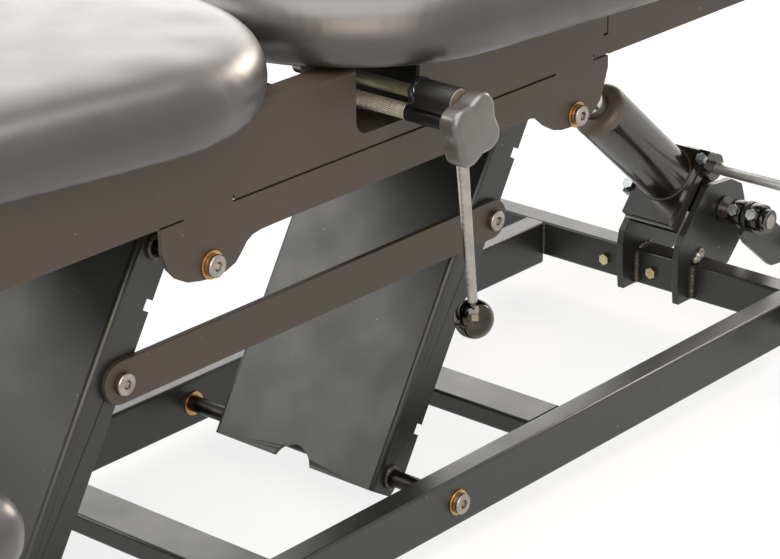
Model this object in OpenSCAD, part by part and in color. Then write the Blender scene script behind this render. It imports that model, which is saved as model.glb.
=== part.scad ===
// Treatment table: raising base, drop section, sliding and tilting head piece. Millimetres, +Z up.
// The origin is on the floor, in the middle of the table. +X is the foot end, -Y the control side.

/* [Base frame] */
// Distance between the lower leg pivots
pivot_spacing = 487.3; // [475:0.1:500]
// Height of the lower leg pivots above the floor
pivot_height = 50; // [46:0.5:56]
// Place of the rear lower pivot along the table
rear_pivot_x = 32; // [24:1:40]
// Width over the outer faces of the two rails
base_width = 360; // [350:1:376]
// Width of a rail
rail_wide = 25; // [22:0.5:28]
// Height of a rail
rail_tall = 50; // [45:0.5:54]
// Wall of all the square tubes
tube_wall = 2.5; // [2:0.1:3.5]
// Head end of the rails
rail_head_x = -578; // [-600:1:-560]
// Foot end of the rails
rail_foot_x = 599; // [590:1:610]
// Length of the bars across the two ends
foot_bar_long = 580; // [540:1:620]
// Width of the bars across the two ends
foot_bar_wide = 30; // [26:0.5:32]
// Height of the bars across the two ends
foot_bar_tall = 40; // [34:0.5:44]
// Width of the flat tubes between the rails
cross_wide = 50; // [40:1:60]
// Height of the flat tubes between the rails
cross_tall = 20; // [16:0.5:24]
// Diameter of a levelling foot
foot_pad_d = 46; // [36:1:50]

/* [Legs] */
// Distance between the two pivots of a leg
leg_length = 373; // [360:1:386]
// Slope of the legs in the pose shown
leg_angle = 59.3; // [56:0.1:61]
// Width over a leg's two flanges
leg_wide = 201.8; // [190:0.2:214]
// Depth of a leg's flanges
leg_deep = 40.1; // [36:0.1:46]
// Distance from the pivots to the leg's front face
leg_face = 21.2; // [18:0.1:24]
// Sheet thickness of the legs and the side plates
sheet = 4; // [3:0.1:5]
// Diameter of the pivot shafts
shaft_d = 16; // [14:0.5:18]
// Flange diameter of the bronze bushes
bush_flange_d = 24.6; // [23:0.2:27]
// Diameter of the screw heads on the shafts
screw_head_d = 19.6; // [18:0.2:21]
// Width of the tie bar
tie_wide = 38; // [32:1:44]
// Thickness of the tie bar
tie_thick = 6; // [4:0.5:8]

/* [Top frame] */
// Width over the two side plates
plate_width = 326; // [318:1:340]
// Height from the upper pivots to the top of the side plates
plate_rise = 121.3; // [112:0.5:130]
// Height from the upper pivots to the plain lower edge of the side plates
web_gap = 46.5; // [42:0.5:50]
// Width of the flange bent inward at the top
plate_flange = 25; // [18:1:32]
// Length of the cushions past the side plates at the head end
head_overhang = 353; // [343:1:368]
// Length of the cushions past the side plates at the foot end
foot_overhang = 193; // [153:1:233]

/* [Cushions] */
// Length over all cushions
table_length = 1906; // [1880:2:1930]
// Thickness of the cushions
cushion_thick = 71.7; // [62:0.5:80]
// Height from the shoulder of a cushion to its crown
crown_share = 0.055; // [0.03:0.005:0.08]
// Seam between the chest and the drop section
chest_seam_x = -154.5; // [-165:0.5:-145]
// Seam between the drop and the leg section
leg_seam_x = 332.5; // [325:0.5:340]
// Gap at each seam
seam_gap = 5; // [4:0.5:8]
// Gap between the head cushion and the chest cushion
head_gap = 27; // [24:1:34]
// Length of the head cushion
head_long = 298; // [280:1:312]
// Half width of the chest cushion at its seam
chest_half = 228; // [220:1:238]
// Half width of the chest cushion at the head
chest_head_half = 190; // [180:1:202]
// Half width of the drop section at its head end
pelvic_half = 240; // [230:1:250]
// Half width of the drop section at its foot end
pelvic_foot_half = 262; // [250:1:270]
// Half width of the leg cushion at its foot end
leg_end_half = 240; // [225:1:255]
// Half width of the head cushion
head_half = 140; // [130:1:155]
// Thickness of the boards under the cushions
board_thick = 12; // [9:1:15]

/* [Drop mechanism] */
// Place of the tension rod along the table
drop_x = -55; // [-60:1:-50]
// Height of the tension rod above the upper pivots
drop_rise = 81.2; // [79:0.2:83]
// Diameter of the knurled tension rod
tension_d = 14; // [12:0.5:16]
// Diameter of the smooth cam shaft
cam_shaft_d = 11; // [10:0.5:13]
// Length of the lever rod down to the ball's centre
lever_long = 189.3; // [176:0.1:200]
// Diameter of the ball
ball_d = 35; // [30:1:40]
// Diameter over the lobes of the star knob
knob_d = 65; // [58:1:71]

/* [Jack] */
// Distance of the jack's pivot shaft from the rails' foot end
jack_gap = 57; // [52:1:62]
// Height of the jack's pivot shaft above the rails
jack_rise = 48; // [44:0.5:52]
// Drop from the middle of the jack's cross member to the ram's pin
ram_drop = 64.6; // [62:0.2:67]
// Diameter of the cylinder
cylinder_d = 60.5; // [56:0.5:64]
// Distance from the pivot shaft to the top of the cylinder
cylinder_top = 245; // [238:1:250]
// Diameter of the ram
ram_d = 30; // [26:1:34]
// Diameter of the pump shaft
pump_d = 13.6; // [12:0.1:15]

/* [Arm rests] */
// Length of an arm rest pad
arm_pad_long = 260; // [230:2:290]
// Width of an arm rest pad
arm_pad_wide = 100; // [84:1:112]
// Thickness of an arm rest pad
arm_pad_thick = 48; // [40:1:54]

/* [Hidden] */

$fn = 48;
overrun = 1;
run_gap = 0.05;
side_gap = 0.3;
soft_gap = 0.3;
steel = [0.08, 0.08, 0.09];
bright = [0.75, 0.75, 0.76];
bronze = [0.78, 0.55, 0.3];
vinyl = [0.03, 0.03, 0.035];
zinc = [0.8, 0.72, 0.45];
timber = [0.7, 0.55, 0.36];

front_pivot_x = rear_pivot_x - pivot_spacing;
rail_mid_y = base_width / 2 - rail_wide / 2;
rail_top = pivot_height + rail_tall / 2;
corner_r = tube_wall * 1.2;
top_pivot_x = rear_pivot_x + leg_length * cos(leg_angle);
top_pivot_z = pivot_height + leg_length * sin(leg_angle);
front_top_x = top_pivot_x - pivot_spacing;
frame_top = top_pivot_z + plate_rise;
web_bottom = top_pivot_z + web_gap;
plate_out = plate_width / 2;
plate_in = plate_out - sheet;
bend_r = sheet * 1.25;
bush_d = shaft_d * 1.25;
bush_flange = 2;
bush_bore = shaft_d + 2 * run_gap;
frame_sleeve = 12;
screw_head = 5.7;
rim_r = 0.8;
socket_flats = 8;
socket_d = socket_flats / cos(30);
socket_deep = 4;
shank_d = 10;
shank_deep = 20;
base_shaft_half = base_width / 2 + bush_flange + side_gap;
top_shaft_half = plate_out + bush_flange + side_gap;
weld_skin = 3;
weld_r = shaft_d / 2 + weld_skin;
weld_long = 3;
weld_end_d = shaft_d + weld_long / 2;
leg_half = leg_wide / 2;
leg_foot = 18;
leg_cut = 8;
leg_head = 12;
notch_at = [50, 325];
notch_long = 10;
notch_deep = 7.5;
scoop_r = 23.5;
scoop_deep = 16;
tie_s = 258.6;
tie_o = 10.2;
tie_pin_d = 12;
tie_skin = 0.1;
tie_pin_head = 6;
half_length = table_length / 2;
plate_head_x = head_overhang - half_length;
plate_foot_x = half_length - foot_overhang;
cushion_z = frame_top + soft_gap;
board_inset = 30;
foot_bar_z = rail_top - foot_bar_tall / 2;
foot_pad_tall = 12;
foot_stem_d = 12;
foot_edge = 25;
nut_tall = 7;
nut_d = 21;
foot_stem_top = foot_bar_z;
jack_x = rail_foot_x + jack_gap;
jack_z = rail_top + jack_rise;
jack_y = -5;
hinge_back = 12;

// Outlines as shares of one reach
lug_reach = 60;
front_lug_share = [[-0.913, 0.408], [-0.813, 0.152], [-0.65, -0.02], [-0.455, -0.125], [-0.218, -0.177],
  [0.022, -0.207], [0.285, -0.188], [0.485, -0.118], [0.607, 0.005], [0.708, 0.12], [0.83, 0.185],
  [0.99, 0.21], [1.267, 0.217]];
rear_lug_share = [[-1.45, 0.217], [-1.16, 0.225], [-1.012, 0.2], [-0.782, 0.012], [-0.552, -0.115],
  [-0.372, -0.162], [-0.117, -0.18], [0.345, -0.155], [0.622, 0.067], [0.738, 0.363], [0.807, 0.575]];
front_lug_edge = -0.927;
rear_lug_edge = 0.797;
slit_wide = 1.8;
slot_head_share = -0.527;
slot_foot_share = 0.85;
slot_rise = 60.5;
slot_r = 14;
clevis_reach = 100;
clevis_share = [[-0.8, -0.88], [-0.83, -0.64], [-0.84, -0.36], [-0.81, -0.2], [-0.34, 0.34], [-0.19, 0.34],
  [0.14, 0.31], [0.35, 0.2], [0.42, 0.01], [0.38, -0.43], [0.14, -0.67]];
clevis_near_y = -46;
clevis_far_y = 27;
clevis_thick = 8;
shaft_near_end = -107;
shaft_far_end = 44;

// Plain solids along the axes
module y_rod(x, z, from_y, to_y, d)
  translate([x, from_y, z]) rotate([-90, 0, 0]) cylinder(d = d, h = to_y - from_y);

module y_cone(x, z, from_y, to_y, d1, d2)
  translate([x, from_y, z]) rotate([-90, 0, 0]) cylinder(d1 = d1, d2 = d2, h = to_y - from_y);

module block(low, high)
  translate(low) cube([high[0] - low[0], high[1] - low[1], high[2] - low[2]]);

module side_extrude(from_y, thick)
  translate([0, from_y + thick, 0]) rotate([90, 0, 0]) linear_extrude(thick) children();

module rounded(w, h, r) {
  square([w - 2 * r, h], center = true);
  square([w, h - 2 * r], center = true);
  for (sx = [-1, 1])
    for (sy = [-1, 1])
      translate([sx * (w / 2 - r), sy * (h / 2 - r)]) circle(r);
}

module tube_face(w, h)
  difference() {
    rounded(w, h, corner_r);
    square([w - 2 * tube_wall, h - 2 * tube_wall], center = true);
  }

module tube_x(from_x, to_x, mid_y, mid_z, w, h)
  translate([from_x, mid_y, mid_z]) rotate([90, 0, 90]) linear_extrude(to_x - from_x) tube_face(w, h);

module tube_y(mid_x, from_y, to_y, mid_z, w, h)
  translate([mid_x, to_y, mid_z]) rotate([90, 0, 0]) linear_extrude(to_y - from_y) tube_face(w, h);

module solid_y(mid_x, from_y, to_y, mid_z, w, h)
  translate([mid_x, to_y, mid_z]) rotate([90, 0, 0]) linear_extrude(to_y - from_y) rounded(w, h, corner_r);

module along_leg(x, z, angle)
  translate([x, 0, z]) rotate([0, -angle, 0]) children();

module hex_bolt(head_d, head_tall, d, long) {
  cylinder(d = head_d, h = head_tall, $fn = 6);
  translate([0, 0, -long]) cylinder(d = d, h = long + overrun);
}

// A screw on the end of a shaft; its head points along +Z
module end_screw(head_d, head_tall, d, long)
  difference() {
    union() {
      cylinder(d = head_d, h = head_tall - rim_r);
      translate([0, 0, head_tall - rim_r]) cylinder(d1 = head_d, d2 = head_d - 2 * rim_r, h = rim_r);
      translate([0, 0, -long]) cylinder(d = d, h = long + rim_r);
    }
    translate([0, 0, head_tall - socket_deep]) cylinder(d = socket_d, h = socket_deep + overrun, $fn = 6);
  }

// Base frame
module base_rail(side)
  color(steel) difference() {
    tube_x(rail_head_x, rail_foot_x, side * rail_mid_y, pivot_height, rail_wide, rail_tall);
    for (x = [front_pivot_x, rear_pivot_x])
      y_rod(x, pivot_height, side * rail_mid_y - rail_wide, side * rail_mid_y + rail_wide, bush_d);
  }

module base_rail_near() base_rail(-1);

module base_rail_far() base_rail(1);

cross_front_x = -219;
cross_rear_x = 193;

module base_cross_tubes()
  color(steel) for (x = [cross_front_x, cross_rear_x])
    tube_y(x, rail_wide - base_width / 2, base_width / 2 - rail_wide, rail_top - cross_tall / 2,
      cross_wide, cross_tall);

zinc_d = 6;
zinc_head_d = 13;
zinc_head = 5;
zinc_long = 14;
bar_bolt_y = [5, 68];
bar_bolt_drop = 22;

module foot_bar(mid_x)
  difference() {
    solid_y(mid_x, -foot_bar_long / 2, foot_bar_long / 2, foot_bar_z, foot_bar_wide, foot_bar_tall);
    block([mid_x - foot_bar_wide / 2 + tube_wall, tube_wall - foot_bar_long / 2,
        foot_bar_z - foot_bar_tall / 2 + tube_wall],
      [mid_x + foot_bar_wide / 2 - tube_wall, foot_bar_long / 2 - tube_wall,
        foot_bar_z + foot_bar_tall / 2 - tube_wall]);
    for (s = [-1, 1])
      translate([mid_x, s * (foot_bar_long / 2 - foot_edge), foot_bar_z - foot_bar_tall])
        cylinder(d = foot_stem_d, h = foot_bar_tall);
  }

module base_foot_bar_head() color(steel) foot_bar(rail_head_x - foot_bar_wide / 2);

module base_foot_bar_pump()
  color(steel) difference() {
    foot_bar(rail_foot_x + foot_bar_wide / 2);
    for (y = bar_bolt_y)
      translate([rail_foot_x - overrun, y, rail_top - bar_bolt_drop]) rotate([0, 90, 0])
        cylinder(d = zinc_d, h = foot_bar_wide / 2);
  }

module bush(x, z, face_y, side, sleeve)
  difference() {
    union() {
      y_rod(x, z, face_y + min(0, side * bush_flange), face_y + max(0, side * bush_flange), bush_flange_d);
      y_rod(x, z, face_y + min(0, -side * sleeve), face_y + max(0, -side * sleeve), bush_d);
    }
    y_rod(x, z, face_y - 2 * sleeve, face_y + 2 * sleeve, bush_bore);
  }

base_sleeve = 10;

module base_bushes()
  color(bronze) for (x = [front_pivot_x, rear_pivot_x])
    for (s = [-1, 1]) {
      bush(x, pivot_height, s * base_width / 2, s, base_sleeve);
      bush(x, pivot_height, s * (base_width / 2 - rail_wide), -s, base_sleeve);
    }

stem_seat = 6;
pad_lip = 4;

module at_feet()
  for (x = [rail_head_x - foot_bar_wide / 2, rail_foot_x + foot_bar_wide / 2])
    for (s = [-1, 1])
      translate([x, s * (foot_bar_long / 2 - foot_edge), 0]) children();

module foot_stems()
  color(bright) at_feet() {
    translate([0, 0, foot_pad_tall - stem_seat])
      cylinder(d = foot_stem_d, h = foot_stem_top - foot_pad_tall + stem_seat);
    translate([0, 0, foot_bar_z - foot_bar_tall / 2 - nut_tall]) cylinder(d = nut_d, h = nut_tall, $fn = 6);
  }

module foot_pads()
  color(vinyl) at_feet() difference() {
    union() {
      cylinder(d = foot_pad_d, h = foot_pad_tall - pad_lip);
      translate([0, 0, foot_pad_tall - pad_lip])
        cylinder(d1 = foot_pad_d, d2 = foot_stem_d * 2, h = pad_lip);
    }
    translate([0, 0, foot_pad_tall - stem_seat]) cylinder(d = foot_stem_d, h = stem_seat + overrun);
  }

module clevis_plate(from_y)
  side_extrude(from_y, clevis_thick) difference() {
    polygon(concat([for (p = clevis_share) [jack_x + p[0] * clevis_reach, jack_z + p[1] * clevis_reach]],
      [[rail_foot_x + foot_bar_wide, jack_z + clevis_share[10][1] * clevis_reach],
        [rail_foot_x + foot_bar_wide, rail_top], [rail_foot_x, rail_top],
        [rail_foot_x, jack_z + clevis_share[0][1] * clevis_reach]]));
    translate([jack_x, jack_z]) circle(d = shaft_d);
  }

module jack_clevis()
  color(steel) {
    clevis_plate(clevis_near_y);
    clevis_plate(clevis_far_y);
  }

collar_at = [[-75, -61, 30], [-98, -86, 33]];
collar_tilt = 60;
collar_spot = 1;

// Out along the bolt of a collar, from the shaft's axis
module out_of_collar(c)
  translate([jack_x, (c[0] + c[1]) / 2, jack_z]) rotate([0, -collar_tilt, 0]) children();

module zinc_bolts()
  color(zinc) {
    for (y = bar_bolt_y)
      translate([rail_foot_x, y, rail_top - bar_bolt_drop]) rotate([0, -90, 0])
        hex_bolt(zinc_head_d, zinc_head, zinc_d, zinc_long);
  }

module collar_bolts()
  color(zinc) for (c = collar_at)
    out_of_collar(c) translate([0, 0, c[2] / 2 - collar_spot])
      hex_bolt(zinc_head_d, zinc_head, zinc_d, c[2] / 2 - collar_spot - shaft_d / 2 - run_gap);

module jack_pivot_shaft()
  color(bright) y_rod(jack_x, jack_z, shaft_near_end, shaft_far_end, shaft_d);

ring_y = -99;
ring_long = 7;
ring_d = 26;
washer_d = 30;
washer_y = -48.5;
washer_thick = 2.2;

module ring(from_y, to_y, d)
  difference() {
    y_rod(jack_x, jack_z, from_y, to_y, d);
    y_rod(jack_x, jack_z, from_y - overrun, to_y + overrun, shaft_d);
  }

module shaft_collars()
  color(steel) {
    ring(washer_y, washer_y + washer_thick, washer_d);
    ring(ring_y - ring_long, ring_y, ring_d);
    ring(shaft_far_end - ring_long, shaft_far_end, ring_d);
    for (c = collar_at)
      difference() {
        ring(c[0], c[1], c[2]);
        out_of_collar(c) {
          cylinder(d = zinc_d, h = c[2]);
          translate([0, 0, c[2] / 2 - collar_spot]) cylinder(d = zinc_head_d + overrun, h = c[2]);
        }
      }
  }

// Legs, drawn along the leg from its lower pivot
module leg_side()
  difference() {
    polygon([[-leg_foot, leg_face], [-leg_foot, -leg_cut], [leg_cut, leg_face - leg_deep],
      [leg_length + leg_head, leg_face - leg_deep], [leg_length + leg_head, leg_face]]);
    for (s = notch_at)
      translate([s, leg_face - leg_deep]) square([notch_long, 2 * notch_deep], center = true);
  }

module channel_face()
  difference() {
    translate([0, leg_face - leg_deep / 2 - bend_r]) rounded(leg_wide, leg_deep + 2 * bend_r, bend_r);
    translate([0, leg_face - sheet - leg_deep / 2 - bend_r])
      rounded(leg_wide - 2 * sheet, leg_deep + 2 * bend_r, bend_r - sheet);
    translate([-leg_wide, leg_face - 2 * leg_deep]) square([2 * leg_wide, leg_deep]);
  }

module leg_plate(x)
  color(steel) along_leg(x, pivot_height, leg_angle) difference() {
    union() {
      intersection() {
        translate([-2 * leg_foot, 0, 0]) rotate([90, 0, 90])
          linear_extrude(leg_length + 4 * leg_foot) channel_face();
        side_extrude(-leg_wide, 2 * leg_wide) leg_side();
      }
      for (s = [0, leg_length])
        for (side = [-1, 1])
          y_cone(s, 0, side > 0 ? leg_half - overrun : -leg_half - weld_long,
            side > 0 ? leg_half + weld_long : overrun - leg_half,
            side > 0 ? 2 * weld_r : weld_end_d, side > 0 ? weld_end_d : 2 * weld_r);
    }
    for (s = [0, leg_length])
      y_rod(s, 0, -leg_wide, leg_wide, shaft_d);
    translate([-leg_foot + scoop_deep - scoop_r, 0, leg_face - leg_deep])
      cylinder(r = scoop_r, h = 2 * leg_deep);
    y_rod(tie_s, -tie_o, -leg_wide, 0, tie_pin_d);
  }

module leg_shafts(x)
  color(steel) along_leg(x, pivot_height, leg_angle)
    for (end = [[0, base_shaft_half], [leg_length, top_shaft_half]])
      difference() {
        y_rod(end[0], 0, -end[1], end[1], shaft_d);
        for (side = [-1, 1])
          y_rod(end[0], 0, side * end[1] - shank_deep, side * end[1] + shank_deep, shank_d);
      }

module shaft_screws(x)
  color(bright) along_leg(x, pivot_height, leg_angle)
    for (end = [[0, base_shaft_half], [leg_length, top_shaft_half]])
      for (side = [-1, 1])
        translate([end[0], side * end[1], 0]) rotate([-side * 90, 0, 0])
          end_screw(screw_head_d, screw_head, shank_d, shank_deep);

module tie_pin(x)
  color(bright) along_leg(x, pivot_height, leg_angle)
    translate([tie_s, -leg_half - 2 * tie_skin - tie_thick, -tie_o]) rotate([90, 0, 0])
      end_screw(screw_head_d, tie_pin_head, tie_pin_d, tie_thick + 2 * tie_skin + sheet);

module front_leg_plate() leg_plate(front_pivot_x);

module front_leg_shafts() leg_shafts(front_pivot_x);

module front_shaft_screws() shaft_screws(front_pivot_x);

module tie_pin_front() tie_pin(front_pivot_x);

module rear_leg_plate() leg_plate(rear_pivot_x);

module rear_leg_shafts() leg_shafts(rear_pivot_x);

module rear_shaft_screws() shaft_screws(rear_pivot_x);

module tie_pin_rear() tie_pin(rear_pivot_x);

tie_x = rear_pivot_x + tie_s * cos(leg_angle) + tie_o * sin(leg_angle);
tie_z = pivot_height + tie_s * sin(leg_angle) - tie_o * cos(leg_angle);

module tie_bar()
  color(steel) side_extrude(-leg_half - tie_skin - tie_thick, tie_thick) difference() {
    union() {
      translate([tie_x - pivot_spacing, tie_z - tie_wide / 2]) square([pivot_spacing, tie_wide]);
      for (x = [tie_x - pivot_spacing, tie_x])
        translate([x, tie_z]) circle(d = tie_wide);
    }
    for (x = [tie_x - pivot_spacing, tie_x])
      translate([x, tie_z]) circle(d = tie_pin_d + 2 * run_gap);
  }

// Side plates and the members between them
notch_up = 5;
bridge_slit = 29.7;
small_slit = [27, 32];
rear_slit = [24.4, 47.8];
up_slit = [45, 67, 84];
plate_corner = 22;

module slit(from_x, to_x, z)
  translate([from_x, z - slit_wide / 2]) square([to_x - from_x, slit_wide]);

module plate_side(with_slot)
  difference() {
    polygon(concat([[plate_head_x, web_bottom + plate_corner], [plate_head_x + plate_corner, web_bottom],
        [front_top_x + front_lug_edge * lug_reach, web_bottom]],
      [for (p = front_lug_share) [front_top_x + p[0] * lug_reach, top_pivot_z + p[1] * lug_reach]],
      [for (p = rear_lug_share) [top_pivot_x + p[0] * lug_reach, top_pivot_z + p[1] * lug_reach]],
      [[top_pivot_x + rear_lug_edge * lug_reach, web_bottom],
        [plate_foot_x - plate_corner, web_bottom], [plate_foot_x, web_bottom + plate_corner],
        [plate_foot_x, frame_top], [plate_head_x, frame_top]]));
    for (x = [front_top_x, top_pivot_x])
      translate([x, top_pivot_z]) circle(d = bush_d);
    slit(front_top_x + front_lug_edge * lug_reach - overrun, front_top_x - bridge_slit, web_bottom);
    slit(front_top_x + small_slit[0], top_pivot_x - small_slit[1], web_bottom);
    translate([front_top_x + small_slit[0], web_bottom]) square([slit_wide, notch_up]);
    slit(top_pivot_x + rear_slit[0], top_pivot_x + rear_slit[1] + overrun, web_bottom);
    translate([top_pivot_x + rear_slit[0], web_bottom]) square([slit_wide, notch_up]);
    translate([top_pivot_x + up_slit[0], top_pivot_z + up_slit[1]])
      square([slit_wide, up_slit[2] - up_slit[1]]);
    slit(top_pivot_x + up_slit[0] - notch_up, top_pivot_x + up_slit[0] + slit_wide,
      top_pivot_z + up_slit[1]);
    if (with_slot)
      drop_slot();
  }

slot_head_x = drop_x + slot_head_share * lug_reach;
slot_foot_x = drop_x + slot_foot_share * lug_reach;
slot_z = top_pivot_z + slot_rise;

module drop_slot() {
  translate([slot_head_x, slot_z + slot_r]) square([slot_foot_x - slot_head_x, plate_rise]);
  translate([slot_head_x + slot_r, slot_z]) square([slot_foot_x - slot_head_x - 2 * slot_r, plate_rise]);
  for (x = [slot_head_x + slot_r, slot_foot_x - slot_r])
    translate([x, slot_z + slot_r]) circle(slot_r);
}

// Bent section of a side plate: upright outside, flange inward at the top
module bent_face(tall)
  difference() {
    translate([plate_out - plate_flange - bend_r, frame_top - tall]) union() {
      square([plate_flange + bend_r, tall - bend_r]);
      square([plate_flange, tall]);
      translate([plate_flange, tall - bend_r]) circle(bend_r);
    }
    translate([plate_out - 2 * plate_flange, frame_top - tall - overrun])
      square([2 * plate_flange - sheet, tall - bend_r + overrun]);
    translate([plate_out - 2 * plate_flange, frame_top - 2 * bend_r])
      square([2 * plate_flange - bend_r, 2 * bend_r - sheet]);
    translate([plate_out - bend_r, frame_top - bend_r]) circle(bend_r - sheet);
    translate([plate_out - plate_flange - 2 * bend_r, frame_top - 2 * bend_r])
      square([2 * bend_r, 3 * bend_r]);
  }

module side_plate(side, with_slot)
  color(steel) intersection() {
    mirror([0, side > 0 ? 0 : 1, 0]) translate([plate_head_x, 0, 0]) rotate([90, 0, 90])
      linear_extrude(plate_foot_x - plate_head_x) bent_face(plate_rise + lug_reach);
    side_extrude(-plate_width, 2 * plate_width) plate_side(with_slot);
  }

module side_plate_near() side_plate(-1, true);

module side_plate_far() side_plate(1, false);

head_cross_in = 35;
head_cross_x = plate_head_x + head_cross_in;
head_cross_wide = 50;
head_cross_tall = 44;
slide_d = 16;
slide_run = 160;
slide_y = 60;
slide_drop = 37;
slide_z = frame_top - slide_drop;
slide_inner_x = plate_head_x + slide_run;
member_tall = 25;

module frame_cross_head()
  color(steel) difference() {
    tube_y(head_cross_x, -plate_in, plate_in, slide_z, head_cross_wide, head_cross_tall);
    for (s = [-1, 1])
      translate([head_cross_x - head_cross_wide, s * slide_y, slide_z]) rotate([0, 90, 0])
        cylinder(d = slide_d + 2 * run_gap, h = 2 * head_cross_wide);
  }

carrier_wide = 56;
carrier_thick = 5;
bearing_y = 95;
bearing_thick = 15;
bearing_wide = 30;
bearing_top = 12;
cam_rise = 19;
drop_z = top_pivot_z + drop_rise;
cam_z = drop_z + cam_rise;

module drop_carrier()
  color(steel) difference() {
    union() {
      block([drop_x - carrier_wide / 2, -plate_in, slot_z - carrier_thick - side_gap],
        [drop_x + carrier_wide / 2, plate_in, slot_z - side_gap]);
      for (s = [-1, 1]) {
        block([drop_x - bearing_wide / 2, s * bearing_y - bearing_thick / 2, slot_z - side_gap - overrun],
          [drop_x + bearing_wide / 2, s * bearing_y + bearing_thick / 2, cam_z]);
        y_rod(drop_x, cam_z, s * bearing_y - bearing_thick / 2, s * bearing_y + bearing_thick / 2,
          2 * bearing_top + cam_shaft_d);
      }
    }
    y_rod(drop_x, cam_z, -plate_in, plate_in, cam_shaft_d + 2 * run_gap);
  }

jack_cross_ahead = 34.5;
jack_cross_x = leg_seam_x - hinge_back + jack_cross_ahead;
jack_cross_up = 26;
jack_cross_z = web_bottom + jack_cross_up;
ram_ahead = -1.5;
ram_x = jack_cross_x + ram_ahead;
ram_z = jack_cross_z - ram_drop;
jack_angle = atan2(ram_z - jack_z, jack_x - ram_x);
ram_reach = norm([jack_x - ram_x, ram_z - jack_z]);
ram_pin_d = 14;
ram_eye_d = 32;
ram_eye_wide = 24;
bracket_half = 31;
bracket_thick = 8;
bracket_wide = 52;
bracket_end = 20;
float_ahead = 5.1;
float_behind = 5.1;
float_gap = 0.8;

module ram_slot()
  along_leg(ram_x, ram_z, 180 - jack_angle) {
    for (p = [-float_ahead, float_behind])
      y_rod_local(p, ram_pin_d + 2 * float_gap);
    block([-ram_pin_d / 2 - float_gap, -plate_width, -float_ahead],
      [ram_pin_d / 2 + float_gap, plate_width, float_behind]);
  }

module y_rod_local(z, d)
  translate([0, -plate_width, z]) rotate([-90, 0, 0]) cylinder(d = d, h = 2 * plate_width);

module jack_cross()
  color(steel) {
    tube_y(jack_cross_x, -plate_in, plate_in, jack_cross_z, cross_wide, member_tall);
    for (s = [-1, 1])
      difference() {
        side_extrude(s > 0 ? jack_y + bracket_half : jack_y - bracket_half - bracket_thick, bracket_thick)
          polygon([[ram_x - bracket_wide / 2, jack_cross_z - member_tall / 2],
            [ram_x - bracket_wide / 2, ram_z], [ram_x - bracket_wide / 4, ram_z - bracket_end],
            [ram_x + bracket_wide / 4, ram_z - bracket_end], [ram_x + bracket_wide / 2, ram_z],
            [ram_x + bracket_wide / 2, jack_cross_z - member_tall / 2]]);
        ram_slot();
      }
  }

foot_cross_in = 45;
foot_cross_x = plate_foot_x - foot_cross_in;

module frame_cross_foot()
  color(steel)
    tube_y(foot_cross_x, -plate_in, plate_in, web_bottom + cross_wide / 2, cross_wide, member_tall);

module frame_bushes()
  color(bronze) for (x = [front_top_x, top_pivot_x])
    for (s = [-1, 1])
      bush(x, top_pivot_z, s * plate_out, s, frame_sleeve);

// Cushions and the boards under them
rise_share = [0, 0.03, 0.17, 0.39, 0.65, 0.78, 0.87, 0.925];
inset_share = [0.24, 0.17, 0.09, 0.02, 0, 0.07, 0.26, 0.56];
crown_inset_share = [1, 1.9, 3];
crown_rise_share = [0.45, 0.8, 1];
shoulder = 42;
shoulder_share = 0.965;
pocket_gap = 0.3;
arc_steps = 8;
edge_steps = 3;
cushion_points = 4 * (arc_steps + 1) + 2 * edge_steps;
plan_corner = 178;
plan_min_r = 6;

function arc(cx, cy, r, from_a) =
  [for (i = [0:arc_steps]) let (a = from_a + 90 * i / arc_steps) [cx + r * cos(a), cy + r * sin(a)]];

function edge(a, b) = [for (i = [1:edge_steps]) a + (b - a) * i / (edge_steps + 1)];

// Plan outline of a pad, drawn in by an inset all round; ends x0 and x1, half widths w0 and w1
function plan(x0, x1, w0, w1, r0, r1, inset) =
  let (half = (x1 - x0) / 2, ra = max(min(r0, half) - inset, plan_min_r),
    rb = max(min(r1, half) - inset, plan_min_r),
    fa = arc(x1 - inset - rb, w1 - inset - rb, rb, 0), ha = arc(x0 + inset + ra, w0 - inset - ra, ra, 90),
    hb = arc(x0 + inset + ra, inset + ra - w0, ra, 180),
    fb = arc(x1 - inset - rb, inset + rb - w1, rb, 270))
  concat(fa, edge(fa[arc_steps], ha[0]), ha, hb, edge(hb[arc_steps], fb[0]), fb);

function at_height(points, z) = [for (p = points) [p[0], p[1], z]];

function band(k, n) = [for (i = [0:n - 1]) each [
    [k * n + i, k * n + (i + 1) % n, (k + 1) * n + (i + 1) % n],
    [k * n + i, (k + 1) * n + (i + 1) % n, (k + 1) * n + i]]];

module stacked(rings) {
  n = len(rings[0]);
  last = len(rings) - 1;
  polyhedron(points = [for (r = rings) each r],
    faces = concat([[for (i = [0:n - 1]) i]],
      [for (k = [0:last - 1]) each [for (f = band(k, n)) [f[2], f[1], f[0]]]],
      [[for (i = [0:n - 1]) last * n + n - 1 - i]]));
}

module cushion(x0, x1, w0, w1, r0, r1, low, thick, depth, pocket) {
  side = thick * (1 - crown_share);
  seat = plan(x0, x1, w0, w1, r0, r1, pocket - soft_gap);
  stacked(concat(
    pocket > 0 ? [at_height(seat, low + board_thick + pocket_gap), at_height(seat, low)] : [],
    [for (i = [0:len(rise_share) - 1])
      at_height(plan(x0, x1, w0, w1, r0, r1, inset_share[i] * depth), low + rise_share[i] * side)],
    [for (i = [0:len(crown_rise_share) - 1])
      at_height(plan(x0, x1, w0, w1, r0, r1, crown_inset_share[i] * depth),
        low + side * shoulder_share + (thick - side * shoulder_share) * crown_rise_share[i])]));
}

module board(x0, x1, w0, w1, r0, r1, low)
  translate([0, 0, low]) linear_extrude(board_thick) polygon(plan(x0, x1, w0, w1, r0, r1, board_inset));

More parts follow.
